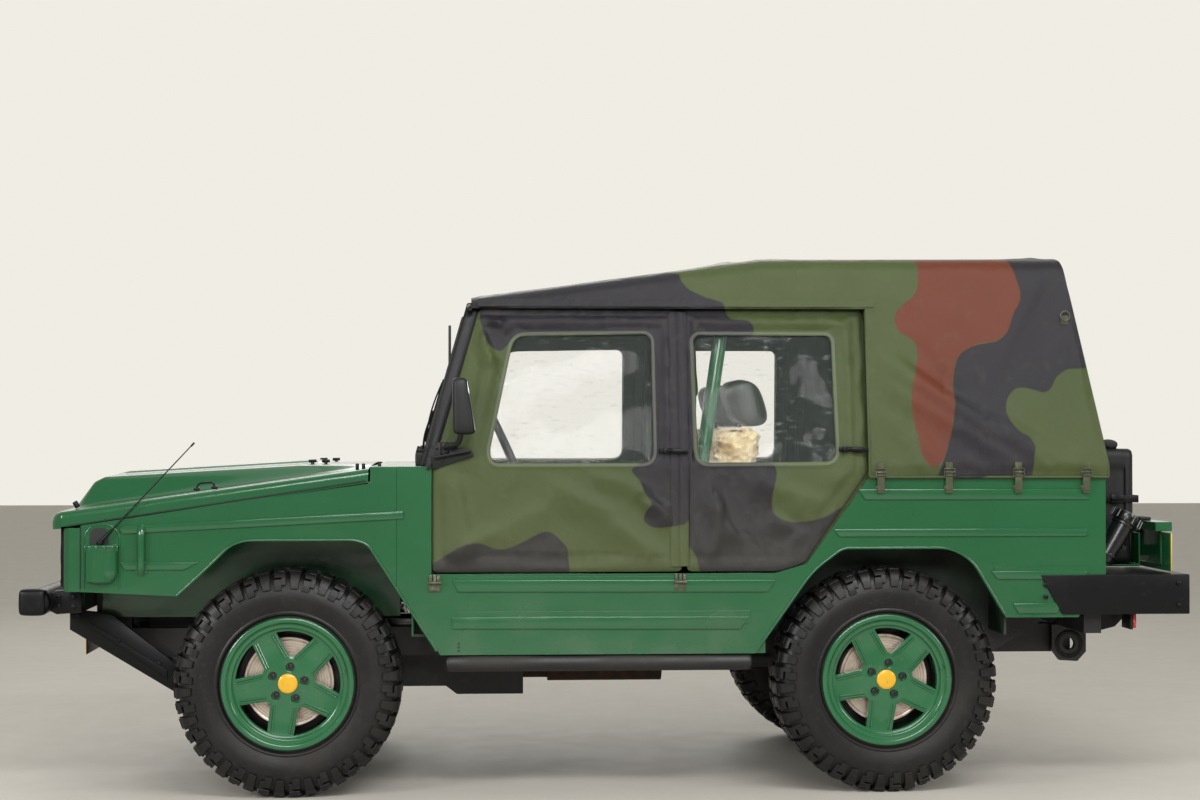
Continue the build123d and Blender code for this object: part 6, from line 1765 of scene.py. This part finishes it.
frames = []
for side in (1, -1):
    for y in (0.310, 0.430):
        frames.append(placed_rod((-0.462, side * y, 1.215), (-0.474, side * y, 1.262), 0.006, 0, 16))
    frames.append(placed_box((-0.172, side * 0.370, 0.680), (0.380, 0.420, 0.278), 0.010))
    frames.append(piped([(-0.395, side * 0.17, 0.86), (-0.395, side * 0.555, 0.86)], 0.010))
frames.append(placed_box((-1.154, 0, 0.785), (0.460, 0.940, 0.026), 0.005))
for y in (-0.44, 0.44):
    frames.append(piped([(-1.350, y, 0.786), (-1.372, y, 0.86), (-1.440, y, 1.16)], 0.010, 0.02))
fitted(joined(frames), "seat-frames", satin_black, instead_of=["seats", "rear_bench"])


def fleece_looks(place):
    tuft = place.noise(85, 6, 0.7)
    clump = place.noise(22, 4)
    return {"Base Color": clump.rise(0.35, 0.65).mix("c6a56e", "ead7aa"),
            "Roughness": tuft * 0.1 + 0.85, "Normal": (tuft + clump * 1.5).bump(0.006)}


fleece = finish_of("cream sheepskin", fleece_looks, Sheen_Weight=0.6, Sheen_Roughness=0.4)


def sheepskin(side):
    """The fleece over a seat's back: a thick curly sleeve, with a ragged lower edge."""
    middle, size = (-0.437, side * 0.356, 1.126), (0.144, 0.440, 0.206)
    sleeve = placed_box(middle, size)
    changed(sleeve, "BEVEL", width=0.050, segments=3)
    changed(sleeve, "SUBSURF", levels=4, render_levels=4)
    places = points_of(sleeve)
    off = places - middle
    out = off / np.maximum(np.abs(off), 0.02) * np.abs(off) / (np.array(size) / 2)
    x, y, z = off.T
    curl = np.sin(x * 230 + z * 90) * np.sin(y * 190 - z * 70)
    curl += np.sin(z * 260 + y * 80) * np.sin(x * 120 + y * 150)
    curl += 1.5 * np.sin(y * 61 + z * 33) * np.sin(z * 72 - x * 41)
    places += out * (np.maximum(0.0036 * curl, -0.002) + 0.004)[:, None]
    places[:, 2] += np.where(z < -0.06, 0.010 * np.sin(y * 47) + 0.006 * np.sin(y * 113), 0)
    places[:, 0] -= z * 0.20
    return eased(reshaped(sleeve, places), 0.0)


for side, name in ((1, "left"), (-1, "right")):
    cover = fitted(sheepskin(side), f"sheepskin-{name}", fleece)

dash = [eased(pressed("dashboard"), 0.010, 3)]
for y, radius in ((0.300, 0.048), (0.440, 0.048), (0.140, 0.030), (0.045, 0.030)):
    bezel = spun([(0, radius * 1000 - 3), (0, radius * 1000 + 5), (6, radius * 1000 + 4), (8, radius * 1000),
                  (4, radius * 1000 - 3)], 48)
    bezel.data.transform(Matrix.Translation((0.4735, y, 1.006)) @ Matrix.Rotation(math.radians(90), 4, "Z"))
    dash.append(eased(bezel, 0.0))
for y in (-0.08, -0.14, -0.20):
    dash.append(placed_rod((0.478, y, 0.990), (0.458, y, 0.990), 0.011, 0.003, 20, 0.009))
dash.append(piped([(0.476, -0.28, 1.010), (0.448, -0.29, 1.010), (0.448, -0.53, 1.010),
                   (0.476, -0.54, 1.010)], 0.010, 0.02))
fitted(joined(dash), "dash-moulding", moulded_black, instead_of=["dashboard"])


def dial_looks(place):
    tick = place.wave("Z", 60, 2.0)
    return {"Base Color": tick.rise(0.86, 0.92).mix("101112", "c9c7b8"),
            "Roughness": place.noise(30, 2) * 0.1 + 0.2}


dials = [placed_rod((0.478, y, 1.006), (0.4735, y, 1.006), radius, 0.0005, 40)
         for y, radius in ((0.300, 0.047), (0.440, 0.047), (0.140, 0.029), (0.045, 0.029))]
fitted(joined(dials), "dash-dials", finish_of("dial faces", dial_looks, Coat_Weight=0.8))

tilt = math.radians(24)
centre = Vector((0.318, 0.370, 1.086))
column = Vector((-math.cos(tilt), 0, math.sin(tilt)))
across = Vector((math.sin(tilt), 0, math.cos(tilt)))
rim = [centre + (Vector((0, 1, 0)) * math.cos(a) + across * math.sin(a)) * 0.195
       for a in (k * math.pi / 36 for k in range(72))]
wheel = [piped(rim, 0.0125, closed=True, sides=5)]
for angle in (0, math.pi, -math.pi / 2):
    out = Vector((0, 1, 0)) * math.cos(angle) + across * math.sin(angle)
    wheel.append(placed_rod(centre - column * 0.004 + out * 0.02, centre + out * 0.188, 0.013, 0.002, 16,
                            0.009))
wheel.append(placed_rod(centre - column * 0.034, centre + column * 0.008, 0.034, 0.006, 40, 0.046))
wheel.append(placed_rod(centre + column * 0.006, centre + column * 0.014, 0.045, 0.004, 40, 0.036))
fitted(joined(wheel), "steering-wheel", moulded_black, "steering_wheel", ["steering_wheel"])

# ---- Underneath ----------------------------------------------------
# Box-section rails, arms, transverse springs and shafts of forged and cast steel under black
# chassis paint, an oily iron engine and gear case, a rusted exhaust and the fuel tank.
def chassis_looks(place):
    dirt = place.noise(4, 5).rise(0.4, 0.75)
    stone = place.noise(80, 4).rise(0.66, 0.74)
    return {"Base Color": stone.mix(dirt.mix("111213", "26221d"), "38342f"),
            "Roughness": dirt * 0.3 + 0.45, "Normal": place.noise(120, 4).bump(0.0005)}


def iron_looks(place):
    oil = place.noise(5, 4).rise(0.45, 0.7)
    rust = place.noise(18, 5).rise(0.55, 0.8)
    return {"Base Color": rust.mix(oil.mix("3a3b3b", "1d1b19"), "4b3527"),
            "Roughness": 0.62 - oil * 0.3, "Metallic": 0.5 - rust * 0.4,
            "Normal": place.noise(220, 4).bump(0.0006)}


def rust_looks(place):
    scale = place.noise(28, 6, 0.65).rise(0.4, 0.7)
    return {"Base Color": scale.mix("3c2f27", "553623"), "Roughness": scale * 0.2 + 0.65,
            "Metallic": 0.45 - scale * 0.35, "Normal": place.noise(140, 5).bump(0.0008)}


chassis_black = finish_of("chassis black", chassis_looks)
cast_iron = finish_of("oily cast iron", iron_looks)
rusted = finish_of("rusted exhaust steel", rust_looks)
BELOW = {"chassis_rails": chassis_black, "crossmembers": chassis_black, "side_steps": chassis_black,
         "fuel_tank": chassis_black, "front_suspension": cast_iron, "rear_suspension": cast_iron,
         "knuckle_left": cast_iron, "knuckle_right": cast_iron, "drive_shafts": cast_iron,
         "gear_case": cast_iron, "engine_block": cast_iron, "exhaust": rusted}
for node, finish in BELOW.items():
    coated(nodes[node], finish)
